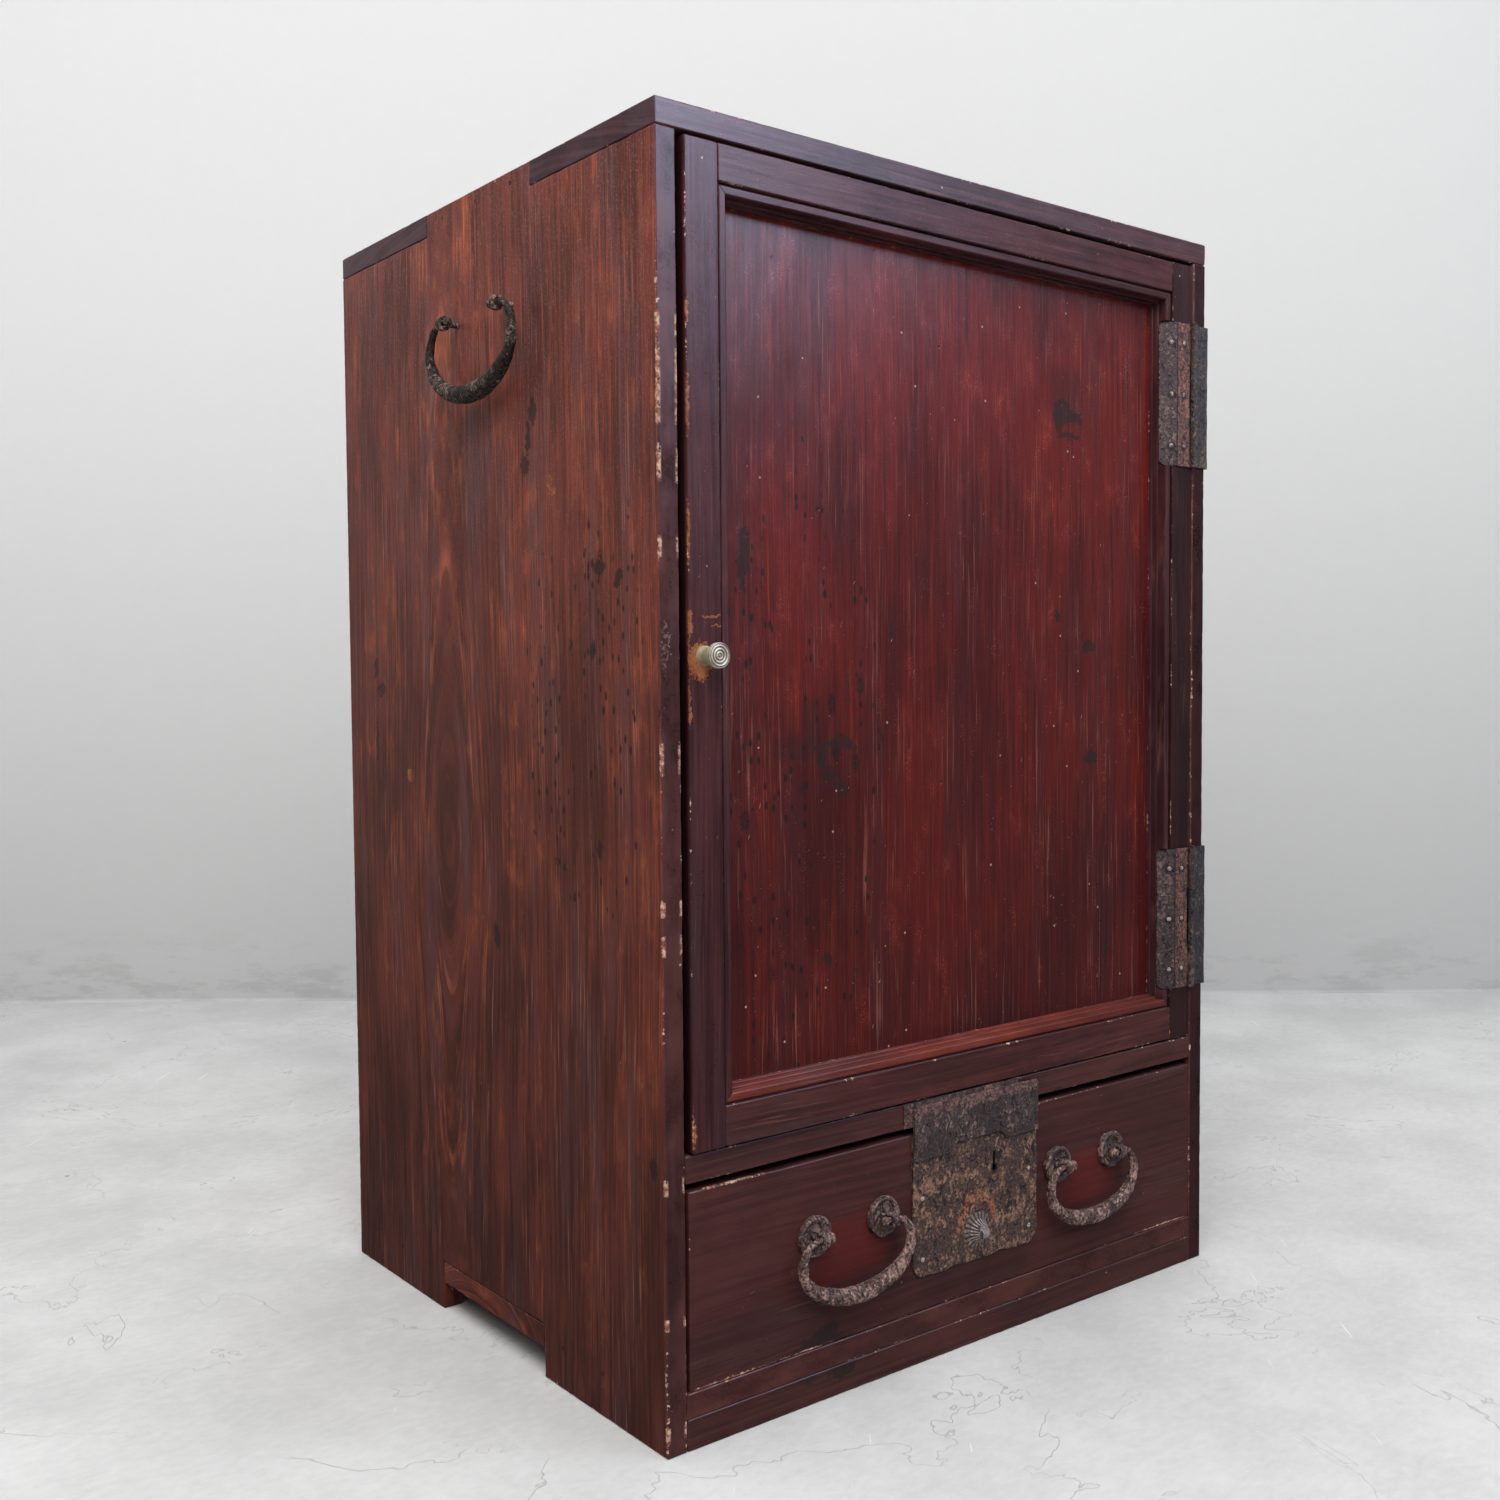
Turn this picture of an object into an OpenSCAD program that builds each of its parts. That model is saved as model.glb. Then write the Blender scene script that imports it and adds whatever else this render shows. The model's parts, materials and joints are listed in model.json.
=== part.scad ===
// Small Japanese tea chest: a lacquered case with one panelled door above one locking drawer.
// Lengths are millimetres. Case coordinates: X from the left side, Y back from the front face, Z up.

/* [Case] */
// Width over the two side boards
body_w = 423; // [360:1:520]
// Depth from the front face to the back
body_d = 354; // [320:1:420]
// Height from the floor to the top face
body_h = 650; // [580:1:760]
// Thickness of the side boards
side_t = 12; // [10:0.5:16]
// Thickness of the top board
top_t = 13; // [10:0.5:18]
// Thickness of the bottom board
bottom_t = 13; // [10:0.5:18]
// Height of the feet under the bottom board
foot_h = 16; // [12:0.5:30]
// Depth of the front finger of each corner joint, and of the front foot
finger_front = 116; // [100:1:125]
// Width of the middle finger of each corner joint, and of the cut between the feet
finger_mid = 118; // [90:1:130]
// Depth of the rail under the bottom board, front to back
base_rail_d = 16; // [10:0.5:30]
// Height of the rail between the door and the drawer
mid_rail_h = 14; // [12:0.5:24]
// Depth of the rail between the door and the drawer
mid_rail_d = 42; // [30:1:60]
// Thickness of the floor of the compartment
floor_t = 9; // [6:0.5:12]
// Depth of the grooves and mortises in the side boards
housing = 5; // [3:0.5:7]
// Thickness of the back boards
back_t = 7; // [5:0.5:10]
// Width of the rabbet that the back boards lie in
back_rabbet = 6; // [4:0.5:8]
// Thickness of the shelf
shelf_t = 9; // [6:0.5:14]
// Height of the shelf above the compartment floor
shelf_rise = 250; // [150:1:320]
// Distance from the front face to the shelf
shelf_setback = 48; // [40:1:90]
// Width and height of the battens that carry the shelf
batten = 11; // [8:0.5:16]
// Height of the strips that stop the door
stop_h = 10; // [6:0.5:14]
// Radius of the wooden pegs
peg_r = 1.3; // [1:0.1:2]
// Length of the wooden pegs
peg_l = 20; // [16:1:28]

/* [Door] */
// Thickness of the door frame
door_t = 20; // [17:0.5:24]
// Gap beside the free edge of the door
door_gap_free = 3; // [1:0.5:5]
// Gap beside the hinged edge of the door
door_gap_hinge = 1; // [0.5:0.1:1.5]
// Gap above the door
door_gap_top = 2.6; // [1:0.1:4]
// Gap below the door
door_gap_bottom = 1; // [0.5:0.1:2]
// How far the warped door stands open at rest, in degrees
door_ajar = 0.4; // [0:0.1:1]
// Width of the door stiles
stile_w = 20; // [18:0.5:40]
// Height of the top rail of the door
rail_top_h = 18.4; // [16:0.2:40]
// Height of the bottom rail of the door
rail_bottom_h = 20.6; // [16:0.2:40]
// Depth of the panel face below the frame face
panel_recess = 12.3; // [11.5:0.1:13]
// Thickness of the door panel
panel_t = 5; // [4:0.2:5.5]
// How far the panel reaches into its groove
panel_tongue = 5; // [3:0.5:8]
// Length of the tenons on the door rails
tenon_l = 12; // [6:0.5:15]
// Thickness of the tenons on the door rails
tenon_t = 6; // [4:0.5:8]
// Height of the knob above the floor
knob_z = 389; // [330:1:460]
// Length of the knob in front of the door
knob_l = 13; // [9:0.5:20]
// Radius of the face of the knob
knob_r = 6.2; // [5:0.1:8]

/* [Hinges] */
// Height of the hinge leaves
leaf_h = 89; // [60:1:110]
// Thickness of the hinge leaves
leaf_t = 1.2; // [0.8:0.1:1.4]
// Distance from the top of the case to the top of the upper hinge
hinge_top_drop = 52; // [40:1:120]
// Distance from the mid rail to the bottom of the lower hinge
hinge_bottom_rise = 33; // [15:1:80]
// Radius of the hinge barrel
barrel_r = 2.2; // [2:0.05:2.3]
// Radius of the hinge pin
pin_r = 1.1; // [0.9:0.05:1.3]
// Distance of the hinge pin from the door's hinged edge
pin_inset = 1.4; // [1:0.1:1.8]
// Distance of the hinge pin in front of the door
pin_proud = 2.5; // [2.5:0.05:3]
// How far the case leaf wraps round the side of the case
leaf_wrap = 26; // [15:1:40]

/* [Drawer] */
// Height of the drawer front
drawer_front_h = 99.3; // [90:0.1:130]
// Thickness of the drawer front
drawer_front_t = 18; // [16:0.5:24]
// Thickness of the drawer sides and back
drawer_side_t = 9; // [7:0.5:12]
// Thickness of the drawer bottom
drawer_bottom_t = 6; // [4:0.5:8]
// Clear depth behind the drawer
drawer_room = 22; // [14:1:90]
// Gap above the drawer front
drawer_gap_top = 4; // [2:0.5:6]
// Gap at the left end of the drawer front
drawer_gap_left = 2; // [1:0.5:3]
// Gap at the right end of the drawer front
drawer_gap_right = 0.8; // [0.5:0.1:2]
// How much lower than the front the drawer sides stand
drawer_side_drop = 5; // [3:0.5:10]

/* [Lock] */
// Distance of the lock from the middle of the case
lock_shift = 2; // [-10:0.5:10]
// Width of the lock plate
lock_w = 100; // [90:1:105]
// Distance from the bottom of the drawer front to the lock plate
lock_low = 19; // [10:0.5:25]
// Thickness of the lock plate
lock_plate_t = 1.2; // [0.8:0.1:1.4]
// Thickness of the cover plate over the lock
cover_t = 1.6; // [1:0.1:2]
// Height of the cover plate over the lock
cover_h = 30; // [28:0.5:34]
// Distance of the keyhole from the middle of the lock
key_shift = 14; // [8:0.5:16]
// Upward travel of the lock bolt
bolt_travel = 7; // [5:0.5:7]

/* [Handles] */
// Distance from the middle of the case to each drawer handle
handle_spread = 94.5; // [88:0.5:120]
// Distance between the two eyes of a drawer handle
eye_gap = 48.6; // [40:0.2:56]
// Height of the drawer handle's eyes above the bottom of the drawer front
eye_rise = 60; // [50:0.5:70]
// Distance from the eyes down to the underside of a drawer handle
bail_drop = 39; // [32:0.5:46]
// Width over a drawer handle
bail_w = 82; // [70:0.5:84]
// Thickness of a drawer handle at its middle
bail_t = 10; // [7:0.2:11]
// Distance of the eyes in front of the wood
eye_proud = 8.5; // [8:0.1:11]
// Distance from the front face to the middle of a side handle
side_handle_y = 166; // [140:1:200]
// Distance from the top of the case to the eyes of a side handle
side_handle_drop = 71; // [50:1:120]
// Width over a side handle
side_bail_w = 100; // [80:1:110]
// Thickness of a side handle at its middle
side_bail_t = 11; // [8:0.2:12]
// Distance between the two eyes of a side handle
side_eye_gap = 61; // [50:0.5:70]
// Distance from the eyes down to the underside of a side handle
side_bail_drop = 49; // [40:0.5:60]

/* [Hidden] */
$fn = 48;

LACQUER = "#5b2620";
DARK_LACQUER = "#3b2023";
PANEL_RED = "#6d2822";
BARE_WOOD = "#b08a5e";
IRON = "#4a403c";
WORN_IRON = "#6a5750";
NICKEL = "#b9b08f";

// Running gap between the drawer or the door and what carries it
slide_gap = 0.3;
// Gap round a peg or a nail in its hole
peg_fit = 0.02;
// Gap round a loose part in its opening
loose_fit = 0.4;
// Extra reach of a cut past the face that it opens
over = 1;

finger_rear = finger_front + finger_mid;
inner_left = side_t;
inner_right = body_w - side_t;
top_z = body_h - top_t;
base_z = foot_h + bottom_t;
back_y = body_d - back_t;

drawer_z = base_z + slide_gap;
drawer_top_z = drawer_z + drawer_front_h;
mid_rail_z = drawer_top_z + drawer_gap_top;
floor_z = mid_rail_z + mid_rail_h;
shelf_z = floor_z + shelf_rise;

door_x0 = inner_left + door_gap_free;
door_x1 = inner_right - door_gap_hinge;
door_z0 = floor_z + door_gap_bottom;
door_z1 = top_z - door_gap_top;
frame_x0 = door_x0 + stile_w;
frame_x1 = door_x1 - stile_w;
frame_z0 = door_z0 + rail_bottom_h;
frame_z1 = door_z1 - rail_top_h;
tenon_y = 4;
stop_y = door_t + loose_fit;
back_peg_count = 6;
back_peg_end = 42;

hinge_x = door_x1 - pin_inset;
hinge_y = -pin_proud;
hinge_upper_z = body_h - hinge_top_drop - leaf_h;
hinge_lower_z = floor_z + hinge_bottom_rise;
pin_fit = 0.06;
pin_head_r = barrel_r * 0.85;
pin_head_h = 1;
// The barrel is cut in three knuckles: the case holds the middle one
knuckle_share = 0.4;
knuckle_gap = 0.3;
// The door leaf folds back over the moulding at this distance inside the stile
fold_inset = 3.5;
fold_reach = 10.5;
fold_depth = 6.2;
leaf_corner = 5;
head_r = 1.7;
head_h = 1;
shank_r = 0.8;
shank_l = 8;

knob_x = door_x0 + stile_w / 2 - 1;
knob_neck_r = knob_r * 0.8;
knob_shank_r = 2.4;
nut_r = 5;
nut_t = 2.5;

drawer_x0 = inner_left + drawer_gap_left;
drawer_x1 = inner_right - drawer_gap_right;
drawer_side_z = drawer_z + drawer_bottom_t;
drawer_side_top = drawer_top_z - drawer_side_drop;
drawer_d = back_y - drawer_room;
drawer_lap = 8;
drawer_back_drop = 6;
lock_x = body_w / 2 + lock_shift;
lock_z0 = drawer_z + lock_low;
cover_drop = 2.6;
cover_z1 = floor_z - cover_drop;
cover_z0 = cover_z1 - cover_h;
lock_z1 = drawer_top_z - 1;
key_rise = 50;
key_z = lock_z0 + key_rise;
strike_t = lock_plate_t - slide_gap;
strike_reach = 6;
body_half = 30;
lock_body_rise = 33;
lock_body_z0 = lock_z0 + lock_body_rise;
lock_body_z1 = drawer_top_z - cover_drop;
lock_wall = 1.2;
lock_depth = 9.2;
bolt_t = 4;
bolt_y = lock_depth - lock_wall - slide_gap - bolt_t;
bolt_half = 27;
bolt_h = 12.5;
bolt_spare = 1;
bolt_z = lock_body_z1 - lock_wall - bolt_travel - bolt_spare - bolt_h;
bolt_rest = 6;
tongue_half = 8;
slot_spare = 3;
key_pin_r = 0.8;

eye_z = drawer_z + eye_rise;
eye_hole_r = 2.2;
eye_r = 4.2;
eye_w = 4.4;
eye_stem_r = 1.9;
bail_end_r = 1.8;
ball_r = 3;
ball_in = eye_w / 2 + ball_r + 0.2;
rosette_r = 11.2;
rosette_h = 4;
clench_l = 11;
clench_t = 1.6;
side_eye_proud = eye_proud + 1.2;
side_eye_z = body_h - side_handle_drop;

// How far the knob and the drawer handles stand in front of the case
knob_tip_y = hinge_y + (knob_x - knob_r - hinge_x) * sin(door_ajar)
    - (knob_l - pin_proud) * cos(door_ajar);
front_reach = max(-knob_tip_y, eye_proud + bail_t / 2);
mid_y = (body_d - front_reach) / 2;

// The origin of the part is the middle of its footprint, handles and knob included
module at_case() {
    translate([-body_w / 2, -mid_y, 0])
        children();
}

// Door pieces are drawn shut and turned a little about the hinge pin
module at_door() {
    at_case()
        translate([hinge_x, hinge_y, 0])
            rotate([0, 0, door_ajar])
                translate([-hinge_x, -hinge_y, 0])
                    children();
}

// A box from its lowest and its highest corner
module block(low, high) {
    translate(low)
        cube(high - low);
}

// Left and right pieces are mirror images about the middle of the case
module mirrored_case() {
    translate([body_w, 0, 0])
        mirror([1, 0, 0])
            children();
}

// A round bar along +Y, +X or down from the point it starts at
module bar_y(at, r, l) {
    translate(at)
        rotate([-90, 0, 0])
            cylinder(r = r, h = l);
}

module bar_x(at, r, l) {
    translate(at)
        rotate([0, 90, 0])
            cylinder(r = r, h = l);
}

module bar_down(at, r, l) {
    translate(at - [0, 0, l])
        cylinder(r = r, h = l);
}

// A round-headed nail: its shank runs down -Z and its head stands on +Z
module nail_head(r, h) {
    ball = (r * r + h * h) / (2 * h);
    intersection() {
        translate([0, 0, h - ball])
            sphere(r = ball);
        cylinder(r = r, h = h);
    }
}

module nail() {
    nail_head(head_r, head_h);
    translate([0, 0, -shank_l])
        cylinder(r = shank_r, h = shank_l + head_h / 4);
}

module nail_hole() {
    translate([0, 0, -shank_l - over])
        cylinder(r = shank_r + peg_fit, h = shank_l + 2 * over);
}

/* Case */

// Peg places of the left corner joints; the right ones mirror them
function finger_thirds(low, high) = [for (k = [1, 3, 5]) low + (high - low) * k / 6];

module left_joint_pegs(r) {
    for (y = concat(finger_thirds(0, finger_front), finger_thirds(finger_rear, back_y))) {
        bar_down([side_t / 2, y, body_h], r, peg_l + top_t);
        bar_x([0, y, base_z - bottom_t / 2], r, peg_l + side_t);
    }
    for (y = finger_thirds(finger_front, finger_rear)) {
        bar_x([0, y, body_h - top_t / 2], r, peg_l + side_t);
    }
}

module back_peg_places() {
    inset = (side_t + back_rabbet) / 2;
    last = back_peg_count - 1;
    for (x = [inset, body_w - inset], k = [0 : last]) {
        z = base_z + back_peg_end + k * (top_z - base_z - 2 * back_peg_end) / last;
        translate([x, body_d, z])
            children();
    }
    for (k = [0 : last], z = [top_z + (top_t - back_rabbet) / 2, base_z - bottom_t / 2]) {
        x = inner_left + back_peg_end + k * (inner_right - inner_left - 2 * back_peg_end) / last;
        translate([x, body_d, z])
            children();
    }
}

module back_peg_holes() {
    back_peg_places()
        rotate([90, 0, 0])
            translate([0, 0, -over])
                cylinder(r = peg_r + peg_fit, h = peg_l + over);
}

// The space that the back boards lie in
module back_pocket() {
    block([back_rabbet, back_y, foot_h], [body_w - back_rabbet, body_d + over, top_z + top_t - back_rabbet]);
}

module side_board_blank() {
    difference() {
        block([0, 0, 0], [side_t, body_d, body_h]);
        block([-over, -over, top_z], [side_t + over, finger_front, body_h + over]);
        block([-over, finger_rear, top_z], [side_t + over, body_d + over, body_h + over]);
        block([-over, finger_front, -over], [side_t + over, finger_rear, base_z]);
        back_pocket();
        left_joint_pegs(peg_r + peg_fit);
        back_peg_holes();
        rail_tenon_left();
        block([side_t - housing, mid_rail_d, floor_z - floor_t], [side_t + over, back_y, floor_z]);
    }
}

// The rail's end is let into the side board, with a shoulder all round
module rail_tenon_left() {
    shoulder_z = 2;
    shoulder_y = 6;
    block([side_t - housing, shoulder_y, mid_rail_z + shoulder_z],
        [side_t + over, mid_rail_d - shoulder_y, floor_z - shoulder_z]);
}

module side_board_left() {
    color(LACQUER) at_case()
        difference() {
            side_board_blank();
            left_eye_places()
                eye_stem_hole();
        }
}

module side_board_right() {
    color(LACQUER) at_case()
        difference() {
            mirrored_case()
                difference() {
                    side_board_blank();
                    left_eye_places()
                        eye_stem_hole();
                }
            case_nail_places()
                nail_hole();
        }
}

module top_board() {
    color(DARK_LACQUER) at_case()
        difference() {
            block([0, 0, top_z], [body_w, body_d, body_h]);
            block([-over, finger_front, top_z - over], [side_t, finger_rear, body_h + over]);
            block([inner_right, finger_front, top_z - over], [body_w + over, finger_rear, body_h + over]);
            back_pocket();
            back_peg_holes();
            left_joint_pegs(peg_r + peg_fit);
            mirrored_case()
                left_joint_pegs(peg_r + peg_fit);
        }
}

module bottom_board() {
    color(LACQUER) at_case()
        difference() {
            union() {
                block([inner_left, 0, foot_h], [inner_right, body_d, base_z]);
                block([0, finger_front, foot_h], [body_w, finger_rear, base_z]);
            }
            back_pocket();
            back_peg_holes();
            left_joint_pegs(peg_r + peg_fit);
            mirrored_case()
                left_joint_pegs(peg_r + peg_fit);
        }
}

module base_rail() {
    color(LACQUER) at_case()
        block([inner_left, 0, 0], [inner_right, base_rail_d, foot_h]);
}

module mid_rail() {
    color(LACQUER) at_case()
        difference() {
            union() {
                block([inner_left, 0, mid_rail_z], [inner_right, mid_rail_d, floor_z]);
                rail_tenon_left();
                mirrored_case()
                    rail_tenon_left();
            }
            tongue_slot(mid_rail_z - over, drawer_top_z + bolt_travel + slot_spare);
        }
}

module compartment_floor() {
    color(BARE_WOOD) at_case()
        block([side_t - housing, mid_rail_d, floor_z - floor_t],
            [inner_right + housing, back_y, floor_z]);
}

module back_board(x0, x1) {
    color(BARE_WOOD) at_case()
        difference() {
            block([x0, back_y, foot_h], [x1, body_d, top_z + top_t - back_rabbet]);
            back_peg_holes();
        }
}

module back_board_left() {
    back_board(body_w / 2 + slide_gap / 2, body_w - back_rabbet);
}

module back_board_right() {
    back_board(back_rabbet, body_w / 2 - slide_gap / 2);
}

module joint_pegs() {
    color(BARE_WOOD) at_case() {
        left_joint_pegs(peg_r);
        mirrored_case()
            left_joint_pegs(peg_r);
    }
}

module back_pegs() {
    color(BARE_WOOD) at_case()
        back_peg_places()
            rotate([90, 0, 0])
                cylinder(r = peg_r, h = peg_l);
}

module shelf() {
    color(BARE_WOOD) at_case()
        block([inner_left + slide_gap, shelf_setback, shelf_z],
            [inner_right - slide_gap, back_y - slide_gap, shelf_z + shelf_t]);
}

module shelf_batten_left() {
    color(BARE_WOOD) at_case()
        block([inner_left, shelf_setback, shelf_z - batten],
            [inner_left + batten, back_y, shelf_z]);
}

module shelf_batten_right() {
    color(BARE_WOOD) at_case()
        block([inner_right - batten, shelf_setback, shelf_z - batten],
            [inner_right, back_y, shelf_z]);
}

module door_stop_upper() {
    color(BARE_WOOD) at_case()
        block([inner_left, stop_y, top_z - stop_h], [inner_right, stop_y + stop_h, top_z]);
}

module door_stop_lower() {
    color(BARE_WOOD) at_case()
        block([inner_left, stop_y, floor_z], [inner_right, stop_y + stop_h, floor_z + stop_h]);
}

module drawer_stops() {
    stop_y0 = drawer_d + slide_gap;
    stop_l = 20;
    stop_inset = 30;
    color(BARE_WOOD) at_case()
        for (x = [inner_left + stop_inset, inner_right - stop_inset - stop_l]) {
            block([x, stop_y0, base_z], [x + stop_l, stop_y0 + stop_h, base_z + stop_h]);
        }
}

module strike_plate() {
    color(WORN_IRON) at_case()
        block([lock_x - lock_w / 2 - strike_reach, -strike_t, mid_rail_z + slide_gap],
            [lock_x + lock_w / 2 - 2 * strike_reach, 0, floor_z - slide_gap]);
}

/* Hinges */

function knuckle_low(h0) = h0 + leaf_h * (1 - knuckle_share) / 2;
function knuckle_high(h0) = h0 + leaf_h * (1 + knuckle_share) / 2;

module barrel(z0, z1) {
    difference() {
        union() {
            translate([hinge_x, hinge_y, z0])
                cylinder(r = barrel_r, h = z1 - z0);
            children();
        }
        translate([hinge_x, hinge_y, z0 - over])
            cylinder(r = pin_r + pin_fit, h = z1 - z0 + 2 * over);
    }
}

module case_leaf(h0) {
    z0 = knuckle_low(h0) + knuckle_gap;
    z1 = knuckle_high(h0) - knuckle_gap;
    difference() {
        union() {
            block([inner_right, -leaf_t, h0], [body_w + leaf_t, 0, h0 + leaf_h]);
            block([body_w, -leaf_t, h0], [body_w + leaf_t, leaf_wrap, h0 + leaf_h]);
            barrel(z0, z1)
                block([hinge_x, -leaf_t, z0], [inner_right + over, 0, z1]);
        }
        case_nail_places()
            nail_hole();
    }
}

module hinge_upper_case_leaf() {
    color(IRON) at_case()
        case_leaf(hinge_upper_z);
}

module hinge_lower_case_leaf() {
    color(IRON) at_case()
        case_leaf(hinge_lower_z);
}

module hinge_pin(h0) {
    translate([hinge_x, hinge_y, h0])
        cylinder(r = pin_r, h = leaf_h + knuckle_gap);
    translate([hinge_x, hinge_y, h0 + leaf_h + knuckle_gap])
        cylinder(r = pin_head_r, h = pin_head_h);
}

module hinge_upper_pin() {
    color(WORN_IRON) at_case()
        hinge_pin(hinge_upper_z);
}

module hinge_lower_pin() {
    color(WORN_IRON) at_case()
        hinge_pin(hinge_lower_z);
}

// Nails that hold the case leaves, driven in from the right side of the case
module case_nail_places() {
    for (h0 = [hinge_lower_z, hinge_upper_z], k = [-1, 0, 1]) {
        translate([body_w + leaf_t, leaf_wrap * 0.6, h0 + leaf_h / 2 + k * leaf_h * 0.36])
            rotate([0, 90, 0])
                children();
    }
}

module case_leaf_nails() {
    color(WORN_IRON) at_case()
        case_nail_places()
            nail();
}

// The bent door leaf seen from above: along the stile, then back over the moulding
fold_x = frame_x1 + fold_inset;
fold_angle = atan(fold_depth / fold_reach);
leaf_back_shift = leaf_t * tan(fold_angle / 2);

module door_leaf_profile() {
    back_run = [sin(fold_angle) * leaf_t, cos(fold_angle) * leaf_t];
    polygon([
        [hinge_x, 0],
        [hinge_x, -leaf_t],
        [fold_x, -leaf_t],
        [fold_x - fold_reach, fold_depth - leaf_t],
        [fold_x - fold_reach + back_run[0], fold_depth - leaf_t + back_run[1]],
        [fold_x + leaf_back_shift, 0]
    ]);
}

// The seat cut for the fold in the stile and in the moulding
module fold_seat() {
    reach = fold_reach + 6;
    for (h0 = [hinge_lower_z, hinge_upper_z]) {
        translate([0, 0, h0 - slide_gap])
            linear_extrude(leaf_h + 2 * slide_gap)
                polygon([
                    [fold_x + leaf_back_shift, 0],
                    [fold_x + leaf_back_shift, -over],
                    [fold_x - reach, -over],
                    [fold_x - reach, reach * tan(fold_angle)
                        - leaf_t + leaf_t / cos(fold_angle)],
                ]);
    }
}

// The leaf's face: its free corners are rounded
module door_leaf_outline() {
    left = fold_x - fold_reach - over;
    r = leaf_corner;
    cut = fold_x - fold_reach;
    translate([0, fold_depth + 2 * over, 0])
        rotate([90, 0, 0])
            linear_extrude(fold_depth + 20)
                union() {
                    translate([cut + r, 0])
                        square([hinge_x - cut, leaf_h]);
                    translate([left, r])
                        square([hinge_x - left, leaf_h - 2 * r]);
                    for (z = [r, leaf_h - r]) {
                        translate([cut + r, z])
                            circle(r = r);
                    }
                }
}

module door_leaf(h0) {
    mid0 = knuckle_low(h0);
    mid1 = knuckle_high(h0);
    difference() {
        union() {
            translate([0, 0, h0])
                intersection() {
                    linear_extrude(leaf_h)
                        door_leaf_profile();
                    door_leaf_outline();
                }
            translate([hinge_x, hinge_y, h0])
                cylinder(r = barrel_r, h = leaf_h);
        }
        block([hinge_x - barrel_r - slide_gap, -3 * barrel_r, mid0], [hinge_x + 2 * barrel_r, over, mid1]);
        translate([hinge_x, hinge_y, h0 - over])
            cylinder(r = pin_r + pin_fit, h = leaf_h + 2 * over);
        door_nail_places()
            nail_hole();
    }
}

module hinge_upper_door_leaf() {
    color(WORN_IRON) at_door()
        door_leaf(hinge_upper_z);
}

module hinge_lower_door_leaf() {
    color(WORN_IRON) at_door()
        door_leaf(hinge_lower_z);
}

// Two rows of nails hold each door leaf: one on its bent part and one on the stile
module door_nail_places() {
    for (h0 = [hinge_lower_z, hinge_upper_z], k = [-1, 0, 1]) {
        z = h0 + leaf_h / 2 + k * leaf_h * 0.36;
        share = 0.34;
        translate([fold_x - fold_reach * share, fold_depth * share - leaf_t, z])
            rotate([90, 0, -fold_angle])
                children();
        translate([(fold_x + hinge_x - barrel_r) / 2, -leaf_t, z])
            rotate([90, 0, 0])
                children();
    }
}

module door_leaf_nails() {
    color(WORN_IRON) at_door()
        door_nail_places()
            nail();
}

/* Door */

module rail_tenons(z0, z1) {
    shoulder = 3;
    block([frame_x0 - tenon_l, tenon_y, z0 + shoulder],
        [frame_x1 + tenon_l, tenon_y + tenon_t, z1 - shoulder]);
}

module panel_blank() {
    block([frame_x0 - panel_tongue, panel_recess, frame_z0 - panel_tongue],
        [frame_x1 + panel_tongue, panel_recess + panel_t, frame_z1 + panel_tongue]);
}

module stile(x0) {
    difference() {
        block([x0, 0, door_z0], [x0 + stile_w, door_t, door_z1]);
        panel_blank();
        rail_tenons(door_z0, frame_z0);
        rail_tenons(frame_z1, door_z1);
    }
}

module door_stile_left() {
    color(DARK_LACQUER) at_door()
        difference() {
            stile(door_x0);
            bar_y([knob_x, -over, knob_z], knob_shank_r + peg_fit, door_t + 2 * over);
        }
}

module door_stile_right() {
    color(DARK_LACQUER) at_door()
        difference() {
            stile(frame_x1);
            fold_seat();
            door_nail_places()
                nail_hole();
        }
}

module door_rail(z0, z1) {
    difference() {
        union() {
            block([frame_x0, 0, z0], [frame_x1, door_t, z1]);
            rail_tenons(z0, z1);
        }
        panel_blank();
    }
}

module door_rail_top() {
    color(DARK_LACQUER) at_door()
        door_rail(frame_z1, door_z1);
}

module door_rail_bottom() {
    color(DARK_LACQUER) at_door()
        door_rail(door_z0, frame_z0);
}

module door_panel() {
    color(PANEL_RED) at_door()
        panel_blank();
}

// Section of the moulding: depth behind the frame face, distance from the frame edge
quirk = 0.9;
ledge = 5.3;
bead = 6.5;
moulding_w = 7.6;
moulding_section = [
    [panel_recess, 0],
    [2.2, 0],
    [2.2, quirk],
    [1.4, quirk],
    [0.9, quirk + 0.5],
    [0.9, ledge - 0.6],
    [1.5, ledge],
    [6.2, ledge],
    [6.2, bead - 0.5],
    [6.7, bead],
    [9.8, bead],
    [9.8, moulding_w - 0.4],
    [10.2, moulding_w],
    [panel_recess, moulding_w]
];

// A strip along +X with its outer edge at Z = 0 and its ends mitred
module moulding_strip(l) {
    intersection() {
        rotate([90, 0, 90])
            linear_extrude(l)
                polygon(moulding_section);
        translate([0, panel_recess + over, 0])
            rotate([90, 0, 0])
                linear_extrude(panel_recess + 2 * over)
                    polygon([[0, 0], [l, 0], [l - moulding_w, moulding_w], [moulding_w, moulding_w]]);
    }
}

module moulding_bottom() {
    color(DARK_LACQUER) at_door()
        translate([frame_x0, 0, frame_z0])
            moulding_strip(frame_x1 - frame_x0);
}

module moulding_top() {
    color(DARK_LACQUER) at_door()
        translate([frame_x0, 0, frame_z1])
            mirror([0, 0, 1])
                moulding_strip(frame_x1 - frame_x0);
}

module moulding_left() {
    color(DARK_LACQUER) at_door()
        translate([frame_x0, 0, frame_z0])
            mirror([1, 0, 0])
                rotate([0, -90, 0])
                    moulding_strip(frame_z1 - frame_z0);
}

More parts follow.
